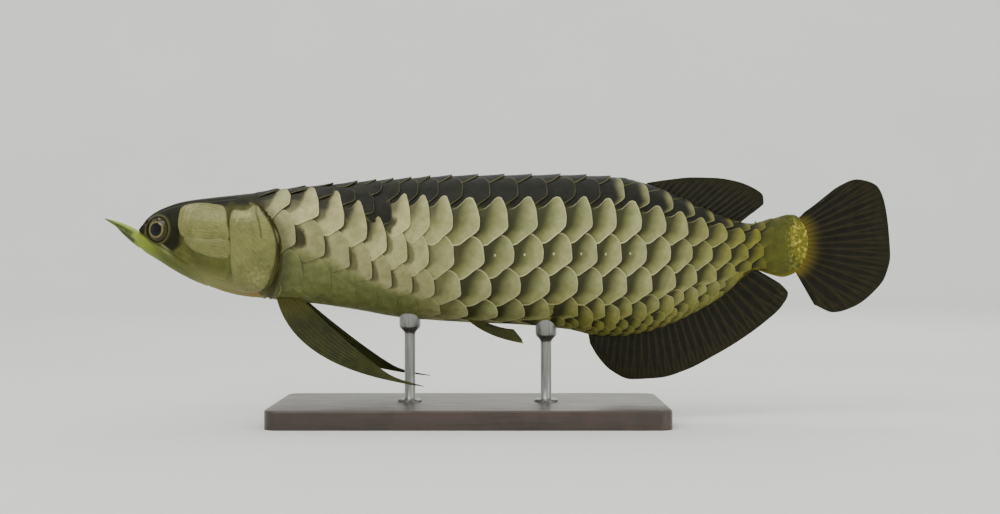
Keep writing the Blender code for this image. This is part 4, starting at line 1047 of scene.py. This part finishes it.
small_row_top = smooth_curve(SMALL_ROW_TOP)
half_girth = smooth_curve(HALF_GIRTH)


def small_lattice(cell, u, v):
    """Where a point of a small scale lies, in the rows along the root of the anal fin."""
    side = np.sign(cell[:, 1])
    down, _, length, height = np.array(SMALL_ROWS)[np.abs(cell[:, 1]).astype(int) - 1].T
    along = column_along(cell[:, 0]) + u * length
    top = small_row_top(along)
    share = top + (1 - top) * down + v * side * height / half_girth(along)
    return along, side * np.minimum(share, 0.999), side * 5.5


def small_patch(cell, rim):
    """The small scale's own patch of the finish."""
    across = (cell[:, 0] - SMALL_START + 1 + rim[:, 0] * 0.37) / (SMALL_END - SMALL_START + 2)
    down = (np.abs(cell[:, 1]) - 0.5 + rim[:, 1] * 0.66 + 4 * (cell[:, 1] > 0)) / 8
    return np.column_stack([across, down])


small_cells = []
for side in (-1, 1):
    for order, (_, each_column, _, _) in enumerate(SMALL_ROWS, start=1):
        for k in range((SMALL_END - SMALL_START) * each_column):
            column = SMALL_START + (k + 0.5 * (order % 2)) / each_column
            small_cells.append((column + row_shift(5, column) * (order == 1) + 0.05 * order,
                                side * order))
coat_of_scales("scales_fin_root", small_cells, 21, small_lattice, small_patch)


# The fins on the middle line are sheets of thin tinted resin over fine rays that fork twice on
# their way to the edge. The dorsal and anal fins are let into the back and belly, and the tail
# fin grows out of the root of the tail. They are near black, with gold where the tail fin starts.

DORSAL_EDGE = ((0, 383, 50.5), (0.15, 400, 53), (0.3, 417, 54.6), (0.45, 434, 54.2),
               (0.6, 449, 51.8), (0.75, 462, 46.8), (0.87, 469.5, 40.5), (0.95, 470, 35),
               (1, 463, 29))
ANAL_BASE = (338, 461)
ANAL_EDGE = ((0, 340, -70), (0.08, 346, -80), (0.17, 356, -90.5), (0.28, 371, -97),
             (0.4, 392, -95.8), (0.52, 412, -89.7), (0.64, 431, -80), (0.75, 450, -69),
             (0.86, 470, -55), (0.94, 485, -41), (0.985, 489, -32), (1, 483, -25))
CAUDAL_BASE = ((492, 21.5), (494, 5), (492, -13))
CAUDAL_EDGE = ((0, 513, 35), (0.06, 525, 47), (0.14, 540, 53), (0.24, 555, 48.5), (0.36, 562, 33),
               (0.5, 565, 12), (0.62, 566, -4), (0.74, 562, -20), (0.84, 551, -33.5),
               (0.92, 537, -43), (0.97, 522, -46.8), (1, 508, -41))


def on_edge(points, u):
    """The free edge of a fin at these fractions across its rays."""
    us, alongs, ups = np.array(points, float).T
    along, up = (smooth_curve(np.column_stack([us, column]))(u) for column in (alongs, ups))
    return np.column_stack([along, 0 * u, up])


def fin_finish(name, membrane, rays, glow):
    """Tinted resin, lighter along its jointed rays."""
    material, tree, shader = start_surface(name, 0.5, coat=0.03, coat_roughness=0.3, gloss=0.12)
    clouds = grain(tree, 7.0, detail=4.0)
    fine = grain(tree, 0.8, detail=2.0)
    lit = times(mark(tree, "ray"), spread(clouds, 0.25, 0.7, 0.5, 1.0))
    colour = paint(mottle(clouds, *membrane), (lit, rays), ("root", glow))
    joints = calculate("SINE", times(mark(tree, "run"), 4.2))
    joints = times(joints, mark(tree, "ray"))
    finish(shader, colour, vary(fine, 0.44, 0.58), (joints, 0.05), (fine, 0.05))
    return material


def make_fin(name, ray_point, rays, samples, lengths, root, tip, material, slot, solid, glow=0.0):
    """A fin of jointed rays that fork twice, with a thin sheet between them."""

    def fin_shape(s, t):
        points = ray_point(s, t)
        offset = s * rays % 1 - 0.5
        offset = np.where(s == 1, -0.5, offset)
        first = 0.25 * step(t, 0.36, 0.95)
        second = 0.11 * step(t, 0.66, 1.0)
        away = np.abs(np.abs(np.abs(offset) - first) - second)
        ray = hump(away, 0.15 - 0.075 * step(t, 0.3, 0.9))
        length = np.linalg.norm(ray_point(s, np.ones(len(s))) - ray_point(s, np.zeros(len(s))),
                                axis=1)
        return points, {"ray": ray, "run": t * length, "share": t,
                        "root": glow * fade(t, 0.03, 0.3)}

    fin = shaped_grid(name, (rays * samples, lengths), fin_shape)
    mesh = fin.data
    ray, share = (values_of(mesh.attributes[name].data, "value", kind=np.float32)
                  for name in ("ray", "share"))
    weights = (0.34 + 0.66 * ray) * (1 + (tip / root - 1) * share ** 0.7)
    thick = fin.vertex_groups.new(name="thickness")
    for i, weight in enumerate(weights):
        thick.add((i,), float(weight), "REPLACE")
    wall = fin.modifiers.new("wall", "SOLIDIFY")
    wall.thickness = root * MM
    wall.offset = 0
    wall.vertex_group = thick.name
    wall.use_rim = True
    bpy.ops.object.modifier_apply(modifier=wall.name)
    mesh.attributes.remove(mesh.attributes["share"])
    fit(fin, material, slot, solid)


def fan(root_of, edge, sway, curl, waves, phase):
    """The points of a fin along rays from its root to its free edge, which sways in waves."""

    def ray_point(u, v):
        along, up = root_of(u)
        root = np.column_stack([along, 0 * u, up])
        points = root + (on_edge(edge, u) - root) * v[:, None]
        points[:, 1] += sway * v**curl * np.sin(waves * u + phase)
        return points

    return ray_point


def let_in(ends, line, depth):
    """The root of a fin that is let in along the back or the belly, as deep as this."""

    def root_of(u):
        along = ends[0] + (ends[1] - ends[0]) * u
        return along, line(along) + depth

    return root_of


def on_path(path, share):
    """The points of a path at these shares of its length."""
    spot = share * (len(path) - 1)
    return np.column_stack([np.interp(spot, np.arange(len(path)), column) for column in path.T])


caudal_root = smooth_path(CAUDAL_BASE, 60)
dark_fin = fin_finish("dark_fin_resin", ((12, 12, 5), (24, 22, 9)), (42, 39, 16), (112, 98, 28))
make_fin("fin_dorsal", fan(let_in(DORSAL_BASE, back_line, -3.5), DORSAL_EDGE, 1.4, 1, 5, 0),
         18, 10, 44, 2.6, 0.6, dark_fin, "fin_dark", "dorsal_fin")
make_fin("fin_anal", fan(let_in(ANAL_BASE, belly_line, 3.5), ANAL_EDGE, 2.4, 2, 7, 0.6),
         26, 10, 50, 2.8, 0.6, dark_fin, "fin_dark", "anal_fin")
make_fin("fin_caudal", fan(lambda u: on_path(caudal_root, u).T, CAUDAL_EDGE, 3.0, 2, 4, -0.8),
         16, 12, 60, 3.2, 0.6, dark_fin, "fin_dark", "caudal_fin", glow=0.9)


# The paired fins hang under the body: two long pectoral fins swept down and back behind the
# head, and two small pelvic fins under the belly. They are dark olive, lighter on their rays.

PECTORAL_LEADING = ((105, 5, -33), (119, 24, -87.5), (218, 46, -98))
PECTORAL_TRAILING = ((121, 6, -33), (160, 21, -69), (195, 35, -93))
PELVIC_LEADING = ((247, 3.5, -51), (262, 11, -65), (290, 17, -69))
PELVIC_TRAILING = ((257, 3.5, -52), (270, 8, -59), (283, 11, -60))

olive_fin = fin_finish("olive_fin_resin", ((22, 24, 6), (40, 42, 12)), (66, 68, 25), (72, 70, 26))
for kind, leading, trailing, rays, samples, lengths in (
        ("pectoral", PECTORAL_LEADING, PECTORAL_TRAILING, 8, 14, 80),
        ("pelvic", PELVIC_LEADING, PELVIC_TRAILING, 6, 12, 40)):
    for side, hand in SIDES:

        def paired_ray(u, v):
            base, bend, end = (np.array(one) * (1, side, 1) + np.outer(u, np.subtract(other, one)
                                                                       * (1, side, 1))
                               for one, other in zip(leading, trailing))
            s = v[:, None]
            return base * (1 - s) ** 2 + 2 * bend * s * (1 - s) + end * s * s

        make_fin(f"fin_{kind}_{hand}", paired_ray, rays, samples, lengths, 2.4, 0.6, olive_fin,
                 "fin_olive" if kind == "pectoral" else "fin_dark", f"{kind}_fin_{hand}", 0.8)


# The two barbels are flat, fleshy feelers at the very tip of the lower jaw, cast in a bright
# yellow-green resin, thick at the root and finely wrinkled, with a painted highlight along the
# upper side and over the root. They point ahead, the left one higher.

BARBEL_PATHS = {"left": ((5, -3.2, 7.5), (-1, -3.6, 12.6), (-11, -5.2, 18.4), (-21.8, -7.2, 23.3)),
                "right": ((5, 3.2, 2.8), (-1, 3.6, 7.2), (-10, 5.2, 13.6), (-18.5, 7, 19.5))}
BARBEL_RADII = ((0, 2.6), (0.24, 3.4), (0.667, 2.4), (1, 0.45))
BARBEL_TILT = (0.55, 0.6, 0.83)

barbel_finish, tree, shader = start_surface("barbel_resin", 0.42, coat=0.15, coat_roughness=0.2,
                                            gloss=0.3)
clouds = grain(tree, 3.0, detail=3.0)
share = mark(tree, "share")
colour = paint(mottle(clouds, (54, 63, 20), (80, 91, 30)),
               # Painted highlight along the upper side and over the root.
               (spread(mark(tree, "over"), 0.3, 1.0), (148, 164, 60)),
               (spread(share, 0.75, 1.0, 0.0, 0.6), (124, 126, 78)))
wrinkles = calculate("SINE", times(share, 190.0))
finish(shader, colour, vary(clouds, 0.34, 0.48), (clouds, 0.15), (wrinkles, 0.05))

barbel_radius = smooth_curve(BARBEL_RADII)
for hand, path in BARBEL_PATHS.items():
    barbel_line = smooth_path(path, 120)

    def barbel_shape(s, t):
        share = np.clip((s - 0.05) / 0.9, 0, 1)
        cap = np.clip(np.minimum(s, 1 - s) / 0.05, 0, 1)
        radius = barbel_radius(share) * np.sqrt(1 - (1 - cap) ** 2)
        angle = 2 * math.pi * (t % 1)
        ring = np.column_stack([np.sin(angle), np.cos(angle), np.sin(angle)]) * BARBEL_TILT
        # A painted highlight: lighter along the upper side of each feeler and over its root.
        over = (np.sin(angle) + 0.3) * (1 - 0.5 * step(share, 0.7, 1))
        over = np.maximum(over, 0.75 * fade(share, 0.28, 0.46))
        points = on_path(barbel_line, share) + ring * radius[:, None]
        return points, {"share": share, "over": over}

    barbel = shaped_grid(f"feeler_{hand}", (90, 28), barbel_shape)
    fit(barbel, barbel_finish, "barbel", f"barbel_{hand}")


# The model stands in a plain pale studio: one smooth sheet of matt paper that bends up from the
# floor into a wall all round. It is lit softly from every side and seen level from the left.

STUDIO_RADIUS, STUDIO_WALL, STUDIO_BEND = 4500.0, 5000.0, 2200.0
CAMERA_PLACE = (0.0225, -1.0417, 0.12225)
SKY_COLOUR, SKY_STRENGTH = (0.92, 0.95, 0.94, 1), 0.38

paper, tree, shader = start_surface("studio_paper", 0.85)
tree.links.new(blend(grain(tree, 400.0), (205, 207, 203), (214, 215, 211)), shader["Base Color"])

bpy.ops.mesh.primitive_cylinder_add(vertices=128, radius=STUDIO_RADIUS * MM,
                                    depth=STUDIO_WALL * MM, location=(0, 0, STUDIO_WALL * MM / 2))
studio = bpy.context.object
studio.name = studio.data.name = "studio_sheet"
bpy.ops.object.transform_apply(location=True, rotation=True, scale=True)
edit(select_all={"action": "DESELECT"})
for face in studio.data.polygons:
    face.select = face.center.z > STUDIO_WALL * MM * 0.99
edit(delete={"type": "ONLY_FACE"})
round_edges(studio, STUDIO_BEND, 24, lambda z, other: max(z, other) < 0.01)
edit(select_all={"action": "SELECT"}, normals_make_consistent={"inside": True})
bpy.ops.object.shade_smooth()
studio.data.materials.append(paper)


def soft_light(name, location, target, size, power):
    """A square softbox that faces a point."""
    bpy.ops.object.light_add(type="AREA", location=location)
    lamp = bpy.context.object
    lamp.name = name
    lamp.data.size = size
    lamp.data.energy = power
    aim = Vector(target) - Vector(location)
    lamp.rotation_euler = aim.to_track_quat("-Z", "Y").to_euler()


soft_light("key", (-0.7, -1.3, 1.5), (0, 0, 0.12), 1.2, 20)
soft_light("overhead", (0.1, 0.1, 1.5), (0, 0, 0.1), 1.4, 9)
soft_light("fill", (1.5, -1.1, 0.6), (0, 0, 0.12), 1.2, 6)
soft_light("rear", (0.6, 1.4, 1.3), (0, 0, 0.12), 1.2, 8)
for name, x, y in (("north", 0, 1), ("east", 1, 0), ("south", 0, -1), ("west", -1, 0)):
    soft_light("wall_" + name, (x * 2, y * 2, 3.4), (x * 4.4, y * 4.4, 1.4), 2.4, 95)

world = bpy.data.worlds.new("studio")
bpy.context.scene.world = world
world.use_nodes = True
sky = world.node_tree.nodes["Background"].inputs
sky["Color"].default_value = SKY_COLOUR
sky["Strength"].default_value = SKY_STRENGTH

bpy.ops.object.camera_add(location=CAMERA_PLACE, rotation=(math.pi / 2, 0, 0))
camera = bpy.context.object
camera.data.lens = 50
camera.data.sensor_width = 36
bpy.context.scene.camera = camera
